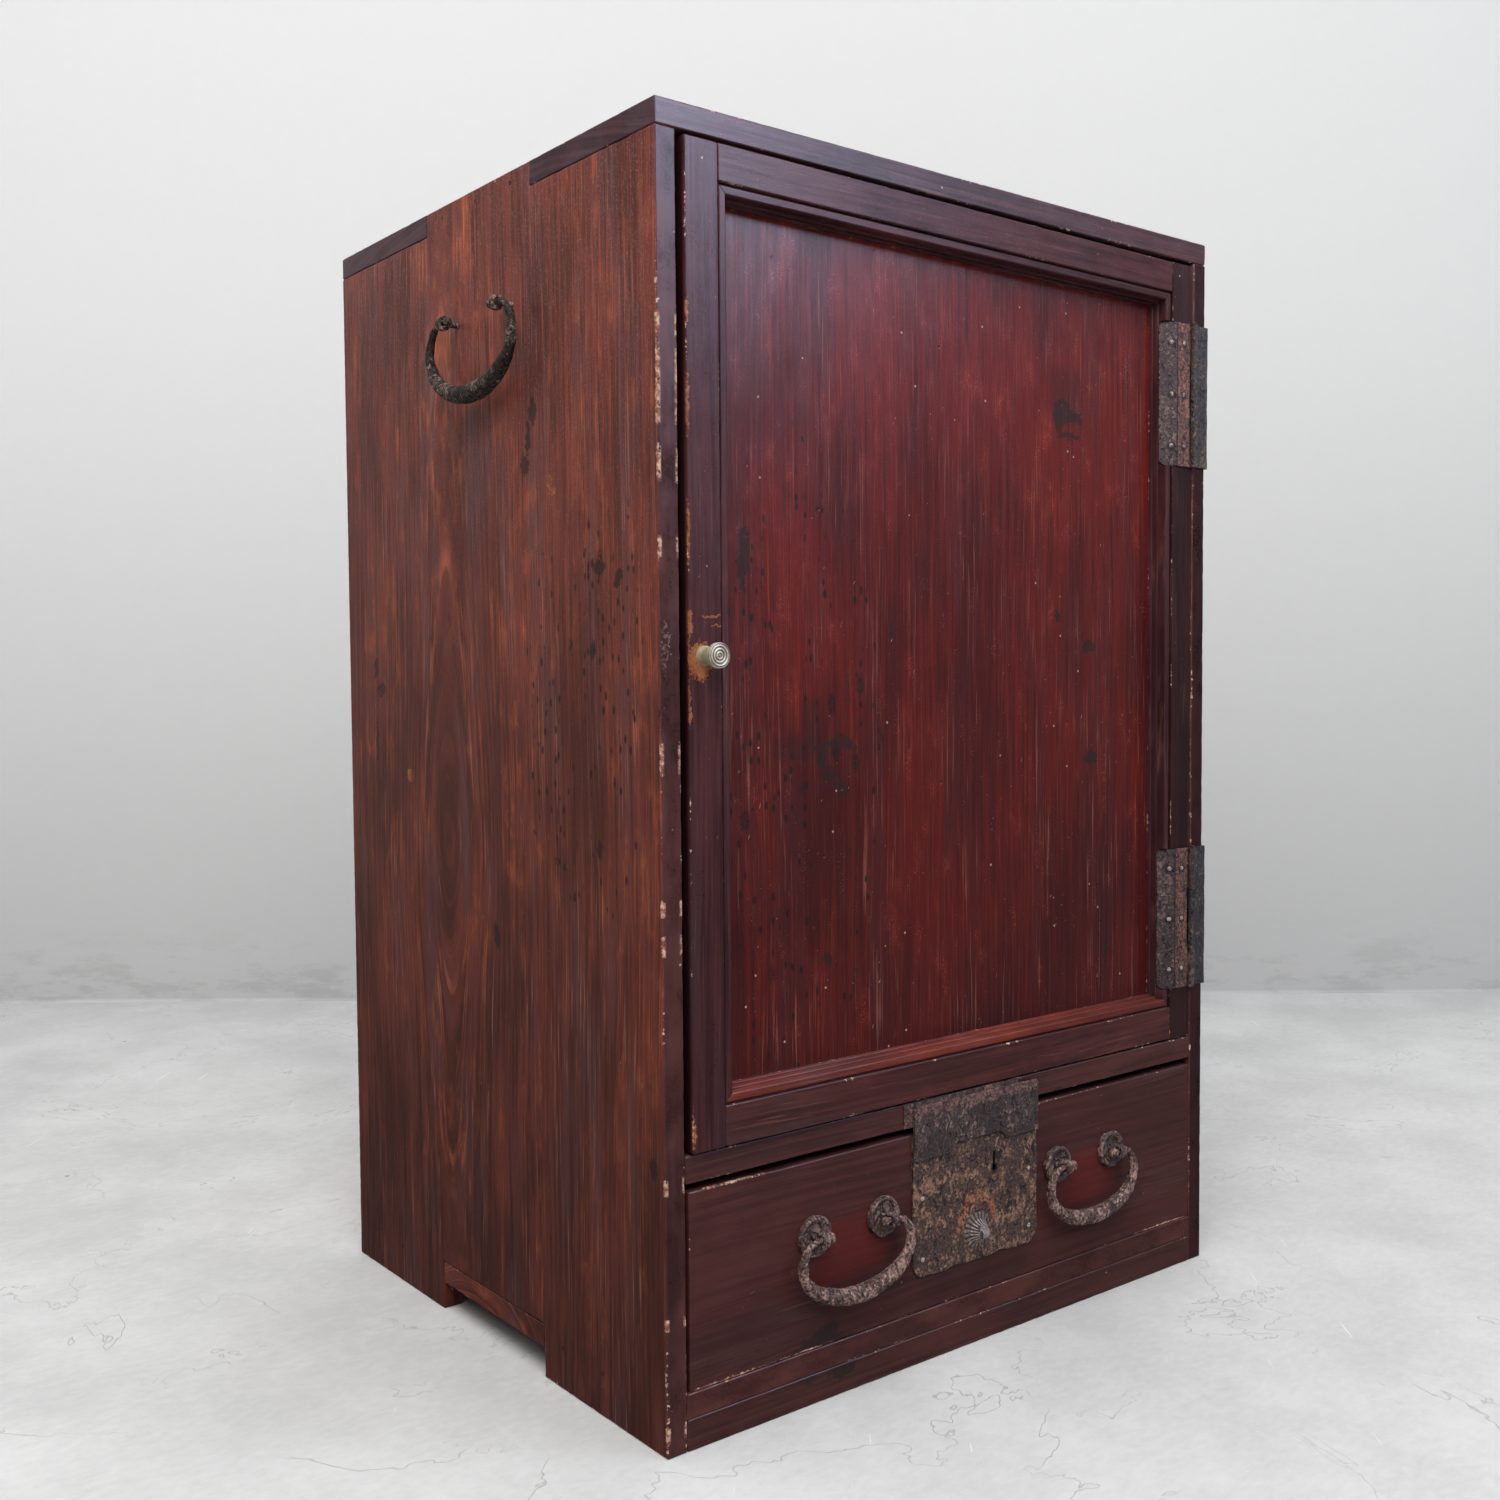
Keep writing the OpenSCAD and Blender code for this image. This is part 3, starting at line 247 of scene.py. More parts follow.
def lacquered(node, order, colours, pith=(-400, 60, 0, 0), wear=1.0, seed=0.0, gloss=plain_gloss,
              grain=1.0, knocks=0.5, flecks=None, stains=(), rubs=(), chips=(), ends=None,
              height_shade=0.0006, bloom_and_sheen=0.1, soot_and_shadow=(), fresh_and_shade=(), gap_shade=0.0, shine=0.12, swing=0.0):
    """Lacquer over softwood. order names the board's axes across, into and along the grain.
    colours are the deep, the usual, the glowing and the dull one. pith is where the tree's heart
    lay across and behind the face, where it bowed nearest, and how far. gloss is a roughness, and
    fade is how much lighter the board gets with each millimetre of height: painted shade, darker
    towards the floor as the light from above falls off. flecks, stains, rubs, chips, soot and fresh
    are spots: a place across and along, and a half width and height. Round the lock the soot spots
    are also painted shadow, and behind the bails the fresh spots are also painted shade."""
    deep, body, ember, haze = [paint(c) for c in colours]
    uneven = (gloss / plain_gloss) ** 2
    finish, place = start_finish(f"{node}_lacquer", swing)
    axes = dict(zip("xyz", place.parts()))
    across, into, along = [axes[a] for a in order]
    flat = across.placed(along, into)
    there = flat + (seed * 17, seed * 31, seed)
    # Growth rings are circles round the heart. Where the heart bows away they end in pointed flames
    sway = there.clouds((80, 260, 80)) - 0.5
    bow = ((along - pith[2]) / 95) ** 2.0
    behind = into + bow / (bow + 1) * pith[3] + pith[1]
    radius = ((across - pith[0]) ** 2.0 + behind ** 2.0) ** 0.5 + sway * 9
    figure = radius.placed(along + seed * 37, into * 0.2)
    wide = figure.clouds((9, 300, 40))
    band = figure.clouds((3, 160, 20), detail=3, rough=0.6)
    line = figure.clouds((0.75, 60, 9), detail=3, rough=0.6)
    pore = there.clouds((0.4, 11, 5), rough=0.6)
    blotch = there.clouds((50, 120, 60), detail=3, rough=0.55)
    drift = (there + (500, 0, 0)).clouds((26, 170, 30), detail=3)
    shade = there.clouds((9, 22, 12), detail=4, rough=0.6)
    grit = there.clouds(1.4, detail=4, rough=0.7)
    # The stain lies in bands, dull purple where thick and glowing where the grain shows through
    colour = (blotch * 0.5 + band * 0.5).rise(0.41, 0.58).tint(deep, body)
    colour = ((drift * 0.6 + band * 0.4).rise(0.5, 0.62) * 0.6).tint(colour, haze)
    warm = (blotch * 0.5 + wide * 0.5).rise(0.43, 0.6)
    glow = line.rise(0.54, 0.7) * (warm * 0.6 + 0.12) + shade.rise(0.5, 0.72) * warm * 0.4
    colour = (glow * min(1, grain * 1.1)).tint(colour, ember)
    fine = band * 0.24 + line * 0.28 + pore * 0.22 - 0.37
    # Painted shade: the colour is darker towards the floor and lighter towards the top, as the
    # light from above falls off
    light_up = axes["z"] * height_shade + (1 - height_of_true_colour * height_shade)
    colour = colour.lit((fine * grain + shade * 0.18 + 0.91) * light_up)
    # Where the lacquer has worn thin along the grain, the wood shows in fine pale and dark lines
    streak = (figure + (700, 0, 0)).clouds((1.5, 70, 20), detail=3, rough=0.6)
    worn_thin = drift.rise(0.42, 0.6) * 0.8 + 0.2
    colour = (streak.rise(0.57, 0.68) * worn_thin * (0.42 * grain)).tint(
        colour, (shade * 0.9).tint(ember, paint("b08074")))
    colour = (streak.rise(0.43, 0.33) * (0.45 * grain)).tint(colour, deep)
    # A fine pale bloom of rubbing and dust, together with painted sheen: it is painted heavier
    # towards the top, where the light from above gives a sheen
    bloom_and_sheen = (axes["z"] / case_h) ** 3.0 * bloom_and_sheen + 0.02
    colour = (grit.rise(0.42, 0.78) * pore.rise(0.4, 0.7) * bloom_and_sheen).tint(colour, paint("a29195"))
    # Soft patches: soot and rust water darken the lacquer, and round the lock the patch is also the
    # plate's painted shadow. Behind a bail the lacquer is fresher and redder where hands never
    # reach, and painted darker as the bail's shade
    for places, patch_colour, thick in ((soot_and_shadow, "221816", 0.38), (fresh_and_shade, "64130f", 0.42)):
        for a, b, half_a, half_b in places:
            reach = ((across - a) / half_a) ** 4.0 + ((along - b) / half_b) ** 4.0
            soft = (1 - (reach + (shade - 0.5) * 2.0).rise(-0.2, 2.2)) * thick
            colour = soft.tint(colour, paint(patch_colour))
    # Short black flecks lie along the grain, thickest where old damp stood
    if flecks:
        zone = spots(across, along, there, [flecks], stray=14.0)
        wobble = (shade - 0.5) * 3
        longer = (1.0, 0.5, 1.0)
        small = ((flat + wobble.placed(0)) * longer).dots(4.4, 1.05, 0.55, seed)
        large = (flat * longer).dots(19, 2.8, 0.5, seed)
        fleck = (small * drift.rise(0.4, 0.5)).most(large * grit.rise(0.4, 0.5))
        colour = (fleck * zone * 0.85).tint(colour, paint("1a1412"))
    if stains:
        stain = spots(across, along, there, stains) * (grit * 0.6 + 0.42)
        colour = stain.tint(colour, paint("231d1b"))
    if rubs:
        # Rubbed to the orange wood, on the face only
        bare = (shade * 0.5 + grit * 0.5).rise(0.38, 0.62).tint(paint("66331f"), paint("ab6c42"))
        face = 1 - into.rise(0.5, 1.5)
        colour = (spots(across, along, there, rubs, stray=1.5) * face * 0.85).tint(colour, bare)
    if ends:
        # The front edges are stained like the door's frame, and scuffed grey beside the knob
        near = 1 - axes["y"].rise(0.15, 0.5)
        scuffed = spots(axes["x"], axes["z"], there, [(3, 392, 2.5, 12)]) * grit.rise(0.5, 0.62)
        dark = (blotch * 0.4 + band * 0.3 + shade * 0.3).rise(0.4, 0.6)
        dark = dark.tint(paint(ends[0]), paint(ends[1])).lit(shade * 0.5 + 0.75)
        gloss = near * (0.32 - gloss) + gloss
        colour = near.tint(colour, (scuffed * 0.5).tint(dark, paint("8d7d86")))
    # Knocks leave pale specks, curved nicks and dark dents
    speck = place.dots(15, 0.58, knocks * 0.8, seed) * 0.8
    nick = (flat.turned(0.35) + (seed, 0, 0)).clouds((0.9, 3.6, 3), warp=0.7).rise(0.74, 0.78)
    nick = nick * (there.clouds(30).rise(0.4, 0.58) * knocks)
    dent = place.dots(17, 0.7, knocks * 0.7, seed + 50)
    colour = (dent * 0.6).tint(colour, paint("150d0d"))
    colour = speck.most(nick * 0.75).tint(colour, paint("b99c8e"))
    # The arrises are darker with grime, then rubbed through in a broken line with wider chips
    edge = edge_distance(place, node, swing)
    bite = there.clouds(3.2, detail=4, rough=0.72)
    patch = there.clouds(34, detail=4, rough=0.6)
    width = (bite.rise(0.48, 0.76) * 2.4 + 0.2) * patch.rise(0.48, 0.62) * wear
    rubbed = (1 - (edge / (width + 0.001)).rise(0.75, 1.05)) * 0.9
    if chips:
        chip = spots(across, along, there, chips, stray=1.0) * (1 - edge.rise(1.0, 2.4))
        rubbed = rubbed.most(chip)
    colour = ((1 - edge.rise(0.0, 1.4)) * bite * 0.6).tint(colour, haze)
    colour = rubbed.tint(colour, bite.rise(0.4, 0.66).tint(paint("7a4636"), paint("cba993")))
    if gap_shade:
        # Painted shade: the edges that close against the case are darkened between the face and the
        # back, where the gap lies in shadow
        back = box_mm(node, swing)[1][1]
        shaded_gap = into.rise(1.2, 3.0) * (1 - into.rise(back - 1.0, back - 0.5))
        colour = colour.lit(1 - shaded_gap * gap_shade)
    rough = ((shade - 0.5) * 0.3 + (grit - 0.5) * 0.25) * uneven
    rough = rough + rubbed * 0.35 + nick * 0.2 + gloss
    height = line * 0.3 + grit * 0.2 + shade * 0.5 + pore * 0.15 - rubbed - nick - dent
    return end_finish(finish, colour, rough, height, 0.16, shine)


def dress(mesh, node, finish):
    """Makes a piece of a mesh, in place of its plain solid and on the same moving body."""
    for face in mesh.polygons:
        face.use_smooth = True
    mesh.materials.append(finish)
    piece = bpy.data.objects.new(mesh.name, mesh)
    bpy.context.scene.collection.objects.link(piece)
    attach(piece, frame["nodes"][node]["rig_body"])
    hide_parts(node)


def worn(node, finish, arris=1.0, chip=0.8, step=4.0, wander=0.0, seed=0.0):
    """A board or plate with its outer arrises rounded and nicked, in place of its sharp solid.
    Lengths are millimetres; step is the length of a nicked face, and wander lets a hand-cut
    outline leave the straight line."""
    least_angle, least_length = 0.6, 3 * arris
    wide_nick, narrow_nick, bend_length = 5, 1.9, 9
    shape = bmesh.new()
    shape.from_mesh(frame["nodes"][node].data)
    bmesh.ops.remove_doubles(shape, verts=shape.verts, dist=1e-6)
    sharp = [e for e in shape.edges if len(e.link_faces) == 2 and e.is_convex
             and e.calc_face_angle() > least_angle and e.calc_length() * MM > least_length]
    made = bmesh.ops.bevel(shape, geom=sharp, offset=arris / MM, segments=4, profile=0.5,
                           affect="EDGES", clamp_overlap=True)
    # For now, the material's number tells the rounded strips from the flat faces
    for face in shape.faces:
        face.material_index = 0
    for face in made["faces"]:
        face.material_index = 1
    # Both long sides of a strip are cut alike, so that each strip becomes a row of small faces
    cuts = {}
    pairs = [sorted(f.edges, key=lambda e: e.calc_length())[-2:] for f in made["faces"]]
    strips_side_by_side = 6
    for k in range(strips_side_by_side):
        for pair in pairs:
            most = max(cuts.get(e, int(e.calc_length() * MM / step)) for e in pair)
            cuts.update({e: most for e in pair})
    for count in sorted(set(cuts.values()) - {0}):
        alike = [e for e in cuts if e.is_valid and cuts[e] == count]
        bmesh.ops.subdivide_edges(shape, edges=alike, cuts=count)
    shape.normal_update()
    # Without a seed, the bend would follow the clock and differ from run to run
    noise.seed_set(7)
    for v in shape.verts:
        where = v.co * MM
        if all(f.material_index for f in v.link_faces):
            nick = noise.noise(where / wide_nick + Vector((seed, 0, 0)))
            nick += 0.5 * noise.noise(where / narrow_nick)
            v.co -= v.normal * max(0.0, nick - 0.12) * chip / MM
        bend = noise.noise_vector(where / bend_length + Vector((0, seed, 0)))
        v.co += bend * wander / MM
    shape.normal_update()
    # Flat faces shade flat, and the rounded strips between them shade from one to the other
    shading = []
    for face in shape.faces:
        for loop in face.loops:
            flats = [f.normal for f in loop.vert.link_faces if not f.material_index]
            if not face.material_index:
                shading.append(face.normal.copy())
            elif flats:
                shading.append(max(flats, key=lambda n: n.dot(face.normal)).copy())
            else:
                shading.append(loop.vert.normal.copy())
    for face in shape.faces:
        face.material_index = 0
        face.smooth = True
    mesh = bpy.data.meshes.new(f"{node}_surface")
    shape.to_mesh(mesh)
    shape.free()
    mesh.normals_split_custom_set(shading)
    dress(mesh, node, finish)


side_colours = ("4c251d", "69332a", "aa5834", "553a3b")
side_stains = [(115, 520, 4, 8), (121, 507, 2.4, 8), (123, 492, 5, 6), (52, 434, 6, 4),
               (35, 427, 3, 5), (314, 388, 2.5, 8), (306, 373, 6, 5), (313, 341, 2, 12),
               (162, 236, 3, 8), (10, 141, 3, 6), (79, 397, 1.8, 4), (59, 393, 2, 5),
               (55, 292, 3, 4)]
side_rubs = [(99, 481, 2.5, 4), (96, 476, 4, 2), (268, 321, 4, 4)]
near_chips = [(0.4, 546, 1.6, 6), (0.4, 525, 0.9, 12), (0.4, 513, 1.6, 5), (0.6, 503, 1.4, 5),
              (0.4, 480, 1, 9), (0.3, 440, 0.8, 6), (0.4, 268, 1.4, 4), (0.3, 250, 0.8, 5),
              (0.4, 133, 1.4, 4), (0.4, 66, 1.6, 3), (0.4, 12, 1.2, 4), (0.3, 340, 0.8, 8)]
left_side = lacquered("side_board_left", "yxz", side_colours, (218, 38, 285, 12), wear=1.2, seed=3,
                      gloss=0.45, flecks=(64, 362, 70, 100), rubs=side_rubs, stains=side_stains,
                      chips=near_chips, ends=("331c1c", "4d2c2b"), height_shade=0.0011, bloom_and_sheen=0.75)
worn("side_board_left", left_side, chip=0.9)
# The right board's front edge is stained darker than the left's: painted shade, as it faces away
# from the light
right_side = lacquered("side_board_right", "yxz", side_colours, (150, 42, 380, 10), seed=57,
                       gloss=0.45, flecks=(200, 200, 80, 60), ends=("231012", "331819"),
                       height_shade=0.0011, bloom_and_sheen=0.3,
                       stains=[(230, 300, 4, 12), (80, 520, 3, 7), (300, 150, 7, 5)])
worn("side_board_right", right_side, chip=0.9, seed=9)

# The boards that lie flat: the top, the bottom and its foot rail, and the rail over the drawer.
# Their grain runs from side to side, so their dark end grain shows in the corner joints. The top
# and the rails are stained darker than the sides.
rail_colours = ("3d2221", "512d29", "66372b", "452f2e")
top_finish = lacquered("top_board", "yzx", ("35252a", "4b3035", "5f3630", "3f353c"),
                       (170, 60, 0, 0), wear=0.8, seed=21, gloss=0.34, grain=0.7)
worn("top_board", top_finish, arris=0.9, seed=21)
bottom_finish = lacquered("bottom_board", "yzx", side_colours, (190, 50, 0, 0), wear=0.6, seed=33,
                          gloss=0.55, ends=rail_colours[:2])
worn("bottom_board", bottom_finish, arris=0.9, seed=33)
base_finish = lacquered("base_rail", "zyx", rail_colours, (-300, 60, 0, 0), wear=0.7, seed=41,
                        grain=0.35, stains=[(22, 92, 9, 22), (15, 112, 6, 10)])
worn("base_rail", base_finish, arris=0.9, seed=41)
rail_finish = lacquered("mid_rail", "zyx", rail_colours, (-200, 90, 0, 0), wear=0.7, seed=48,
                        grain=0.4, stains=[(133, 282, 1.6, 5)])
worn("mid_rail", rail_finish, arris=0.9, seed=48)

# The door frame: two stiles the whole height and two rails tenoned into them, in the darkest
# lacquer, almost black where it is thick. The free stile is rubbed down to orange wood round the
# knob and along its edge.
frame_colours = ("33191c", "482628", "5a2a28", "3a282c")
knob_x, knob_z = 24, 389
stile_rubs = [(knob_x - 2.5, knob_z - 2.5, 7, 9), (30, 408, 7, 0.6), (32, 404, 4, 0.5),
              (15.4, 552, 1.1, 6), (15.4, 508, 0.9, 15), (15.4, 448, 0.9, 16),
              (15.8, 405, 1.6, 6), (15.4, 365, 0.9, 10), (15.4, 158, 1.1, 8),
              (15.2, 390, 0.3, 20)]
left_stile = lacquered("door_stile_left", "xyz", frame_colours, (-160, 70, 0, 0), wear=0.7,
                       grain=0.45, seed=61, gloss=0.31, knocks=0.7, rubs=stile_rubs, gap_shade=0.75,
                       swing=door_swing)
worn("door_stile_left", left_stile, arris=0.8, seed=61)
# The right stile has darker colours than the rest of the frame: painted shade on the side away from
# the light
right_stile = lacquered("door_stile_right", "xyz", ("251113", "331819", "43201e", "2a1b1a"),
                        (300, 70, 0, 0), wear=0.5, grain=0.45, seed=67, gloss=0.32, gap_shade=0.75,
                        swing=door_swing)
worn("door_stile_right", right_stile, arris=0.8)
top_rail = lacquered("door_rail_top", "zyx", frame_colours, (500, 60, 0, 0), wear=0.5, grain=0.5,
                     seed=71, gloss=0.32, gap_shade=0.75, swing=door_swing)
worn("door_rail_top", top_rail, arris=0.8)
low_rail = lacquered("door_rail_bottom", "zyx", ("3c2020", "512a28", "66332b", "442f2f"),
                     (60, 50, 0, 0), wear=0.8, grain=0.6, seed=79, gloss=0.36, gap_shade=0.75,
                     swing=door_swing)
worn("door_rail_bottom", low_rail, arris=0.8)

# The door panel: one thin board in the frame's grooves, the reddest wood of the chest. Soot-dark
# smears and stains and many small knocks are scattered over it.
panel_stains = [(301, 535, 9, 8), (297, 530, 4, 8), (311, 532, 7, 4), (306, 521, 11, 1.8),
                (296, 414, 3, 3), (325, 396, 7, 4.5), (124, 344, 9, 3.6), (112, 342, 9, 1.6),
                (110, 336, 4, 4), (114, 329, 5, 5), (123, 320, 6, 4), (327, 329, 6, 4),
                (113, 230, 4, 4), (341, 208, 1, 14), (159, 403, 2, 4), (58, 438, 4, 16)]
panel_soot = [(92, 342, 16, 6), (104, 356, 6, 12), (303, 545, 14, 16)]
panel_finish = lacquered("door_panel", "xyz", ("401110", "571613", "7b2717", "401c1e"),
                         (-240, 90, 0, 0), wear=0, grain=0.75, seed=90, gloss=0.25, knocks=1.0,
                         height_shade=0.0015, flecks=(90, 330, 60, 160), stains=panel_stains,
                         soot_and_shadow=panel_soot, bloom_and_sheen=0.1, shine=0.27, swing=door_swing)
worn("door_panel", panel_finish)

# The moulding: four mitred softwood strips planed with a quirk, a ledge and two steps, pinned into
# the frame round the panel.
for node, order in (("moulding_top", "zyx"), ("moulding_bottom", "zyx"),
                    ("moulding_left", "xyz"), ("moulding_right", "xyz")):
    # Painted light: the bottom strip gets lighter, redder colours, as its ledges face up into the
    # light from above; it is also more worn
    low = node == "moulding_bottom"
    colours = ("5a2722", "733228", "984636", "5f4644") if low else frame_colours
    strip_finish = lacquered(node, order, colours, seed=len(node) * 7, wear=1.1 if low else 0.6,
                             grain=0.6, knocks=0.2, gloss=0.34, swing=door_swing)
    worn(node, strip_finish, arris=0.25, chip=0.3, step=3)


# The knob: a small turned knob of pale nickelled brass with rings cut into its face, screwed
# through the free stile. It is polished by fingers, and dull green on its neck.
def round_piece(node, finish, centre, rings):
    """A round piece that faces out of the front, of rings from its foot to the middle of its face.
    Each ring is a row of distances from the wood, radii and angles."""
    shape = bmesh.new()
    rings = [[shape.verts.new(Vector((centre[0] + r * math.cos(a), centre[1] - out,
                                      centre[2] + r * math.sin(a))) / MM + corner)
              for out, r, a in ring] for ring in rings]
    for lower, upper in zip(rings, rings[1:]):
        for k in range(len(lower)):
            shape.faces.new([lower[k], lower[k - 1], upper[k - 1], upper[k]])
    shape.faces.new(rings[-1])
    bmesh.ops.recalc_face_normals(shape, faces=shape.faces)
    mesh = bpy.data.meshes.new(f"{node}_surface")
    shape.to_mesh(mesh)
    shape.free()
    dress(mesh, node, finish)


knob_box = box_mm("door_knob")
knob_centre = [(a + b) / 2 for a, b in zip(*knob_box)]
knob_r = (knob_box[1][2] - knob_box[0][2]) / 2
knob_length = 13
wood_y = knob_centre[1] = knob_box[0][1] + knob_length
knob_finish, knob_place = start_finish("knob_metal")
tarnish = knob_place.clouds(4, detail=5, rough=0.65)
scuff = knob_place.clouds(0.8, detail=3)
out_from_wood = wood_y - knob_place.parts()[1]
neck = 1 - out_from_wood.rise(7.5, 10.5)
knob_x_off, knob_z_off = [knob_place.parts()[k] - knob_centre[k] for k in (0, 2)]
face_r, grooves = knob_r * 0.9, 3.5
turn = (1 - (knob_x_off ** 2.0 + knob_z_off ** 2.0) ** 0.5 / face_r) * (2 * math.pi * grooves)
cut = turn.sum("COSINE", turn).rise(-0.3, 0.7) * out_from_wood.rise(12.2, 12.4)
knob_colour = tarnish.rise(0.35, 0.7).tint(paint("b3a891"), paint("877c66"))
knob_colour = (cut * 0.9).tint(knob_colour, paint("3d372c"))
neck_colour = tarnish.rise(0.3, 0.6).tint(paint("5b5a42"), paint("a0967a"))
knob_colour = (neck * 0.8).tint(knob_colour, neck_colour)
end_finish(knob_finish, knob_colour, tarnish * 0.2 + scuff * 0.15 + 0.38, scuff + tarnish, 0.05,
           0.5, Metallic=0.25)
face_steps, knob_sides = 64, 64
knob_profile = [(-1, 4.9), (1.6, 4.9), (2.4, 4.4), (3.2, 4.1), (7.6, 4.1), (8.6, 4.5), (9.8, 5.6),
                (10.6, knob_r), (10.9, knob_r), (11.1, knob_r - 0.3), (11.3, knob_r),
                (12.5, knob_r), (12.9, knob_r - 0.3)]
knob_profile += [(12.7 - 0.25 * math.cos(2 * math.pi * grooves * t / face_steps),
                  face_r * (1 - t / face_steps)) for t in range(face_steps)]
round_piece("door_knob", knob_finish, knob_centre,
            [[(out, r, 2 * math.pi * k / knob_sides) for k in range(knob_sides)]
             for out, r in knob_profile])


# The hinges: folded iron leaves nailed through the moulding and round the case's corner, with a
# knuckle between them on a pin. Rust has eaten them into a tan and brown crust.
def rusted(name, light, mid, dark, crust=4.2, tan=0.5, orange=0.1, height_shade=0.0, swing=0.0,
           marks=None):
    """Old iron: a dark skin, a pitted crust in clumps of one size, and patches of orange rust. tan
    is how much of it is crusted, and orange how much is rusty. marks adds what is one piece's own,
    from the colour, the place, the crust and its grain."""
    finish, place = start_finish(name, swing)
    clump = place.clouds((crust, crust, crust * 1.4), detail=4, rough=0.6, warp=1.0)
    grain = place.clouds(1.6, detail=3, rough=0.65)
    drift = place.clouds(18, detail=4, rough=0.6)
    ridge = 1 - (clump - 0.5).unsigned().rise(0.008, 0.04)
    pits = (place * (1.0, 1.0, 0.6)).clouds(crust * 0.9, warp=0.6).rise(0.42, 0.33)
    speckle = grain.rise(0.35, 0.65)
    colour = grain.rise(0.3, 0.7).tint(paint(dark), paint(mid))
    bare = 0.6 - tan * 0.2
    crusty = (clump * 0.6 + drift * 0.4 + (grain - 0.5) * 0.3).rise(bare, bare + 0.06)
    colour = crusty.tint(colour, speckle.tint(paint(mid), paint(light)))
    colour = (ridge * drift.rise(0.4, 0.62) * 0.5).tint(colour, paint(light))
    rust = (drift * 0.5 + clump * 0.5).rise(0.68 - orange * 0.2, 0.74 - orange * 0.2)
    colour = (rust * 0.65).tint(colour, speckle.tint(paint("64382c"), paint("a0694d")))
    if marks:
        colour = marks(colour, place, clump, grain)
    colour = (pits * 0.7).tint(colour, paint("1d1615"))
    # Painted shade: darker towards the floor and lighter towards the top, as the light from above
    # falls off
    if height_shade:
        colour = colour.lit(place.parts()[2] * height_shade + (1 - height_of_true_colour * height_shade))
    rough = 0.6 + crusty * 0.2 + grain * 0.15 - pits * 0.1
    height = clump * 0.8 + grain * 0.5 - pits + crusty * 0.5 + ridge * 0.3
    return end_finish(finish, colour, rough, height, 0.8, 0.15)


def forged(node, finish, voxel, lump=0.3, pit=0.12, rounds=4, seed=0.0):
    """A piece of wrought iron: its solid with soft edges, hammered out of true and pitted. Lengths
    are millimetres; voxel is the size of its faces, and rounds how often its edges are softened."""
    draft = bpy.data.objects.new("draft", frame["nodes"][node].data.copy())
    bpy.context.scene.collection.objects.link(draft)
    draft.modifiers.new("skin", "REMESH").mode = "VOXEL"
    draft.modifiers["skin"].voxel_size = voxel / MM
    draft.modifiers.new("soft", "SMOOTH").iterations = rounds
    made = draft.evaluated_get(bpy.context.evaluated_depsgraph_get())
    mesh = bpy.data.meshes.new_from_object(made)
    bpy.data.objects.remove(draft)
    mesh.name = f"{node}_surface"
    mesh.materials.clear()
    lump_size, pit_size = 5, 1.5
    for v, normal in zip(mesh.vertices, [v.normal.copy() for v in mesh.vertices]):
        where = v.co * MM + Vector((seed, seed, 0))
        out = (noise.noise(where / lump_size) - 0.5) * lump
        out += (noise.noise(where / pit_size) - 0.3) * pit
        v.co += normal * out / MM
    dress(mesh, node, finish)


fold_x = box_mm("door_stile_right", door_swing)[0][0] + 3.5
leaf_spans = [box_mm(f"hinge_{level}_door_leaf", door_swing) for level in ("upper", "lower")]
nails_box = box_mm("door_leaf_nails", door_swing)
nail_r = 1.7
nail_columns = nails_box[0][0] + nail_r, nails_box[1][0] - nail_r
nail_rows = 0.14, 0.5, 0.86


def leaf_marks(colour, place, clump, grain):
    """The flat part on the stile is rustier than the part bent back, and each nail has a painted
    shadow, a dark patch round it and a little below it.
    """
    x, z = [place.parts()[k] for k in (0, 2)]
    strip = x.rise(fold_x - 0.6, fold_x + 0.6) * (1 - x.rise(pin_mm[0] - 3.6, pin_mm[0] - 3.0))
    strip = strip * (clump * 0.5 + grain * 0.5).rise(0.38, 0.58)
    rust = grain.rise(0.35, 0.65).tint(paint("683c31"), paint("9c6852"))
    colour = (strip * 0.7).tint(colour, rust)
    colour = (x - fold_x).least(fold_x - x).rise(-0.9, -0.1).tint(colour, paint("2a1f1e"))
    # Painted shadow round and under each nail head
    for low, high in leaf_spans:
        for row in nail_rows:
            for column in nail_columns:
                nail_z = low[2] + (high[2] - low[2]) * row - 0.8
                away = (x - column) ** 2.0 + (z - nail_z) ** 2.0
                colour = ((1 - away.rise(5.0, 10.0)) * 0.75).tint(colour, paint("1f1716"))
    return colour


# How much the hinge leaves are painted darker towards the floor, as painted shade
iron_height_shade = 0.0009
door_leaf_iron = rusted("door_leaf_iron", "745f57", "4d3c36", "2e2221", crust=3.4, tan=0.45,
                        height_shade=iron_height_shade, swing=door_swing, marks=leaf_marks)
case_leaf_iron = rusted("case_leaf_iron", "665646", "3f3a3c", "231e1c", tan=0.38, orange=0.05,
                        height_shade=iron_height_shade)
for level in ("upper", "lower"):
    for side, iron in (("door", door_leaf_iron), ("case", case_leaf_iron)):
        worn(f"hinge_{level}_{side}_leaf", iron, arris=0.4, chip=0.4, step=2,
             wander=0.35)
    forged(f"hinge_{level}_pin", case_leaf_iron, 0.35, lump=0.1)
# The nails are painted pale: partly their crust and partly a painted highlight on their domed heads
nail_iron = rusted("nail_iron", "b0a19d", "85766f", "5a4c48", crust=5, tan=0.9, orange=0)
for node in ("door_leaf_nails", "case_leaf_nails"):
    forged(node, nail_iron, 0.25, lump=0.15, pit=0.1, rounds=2)

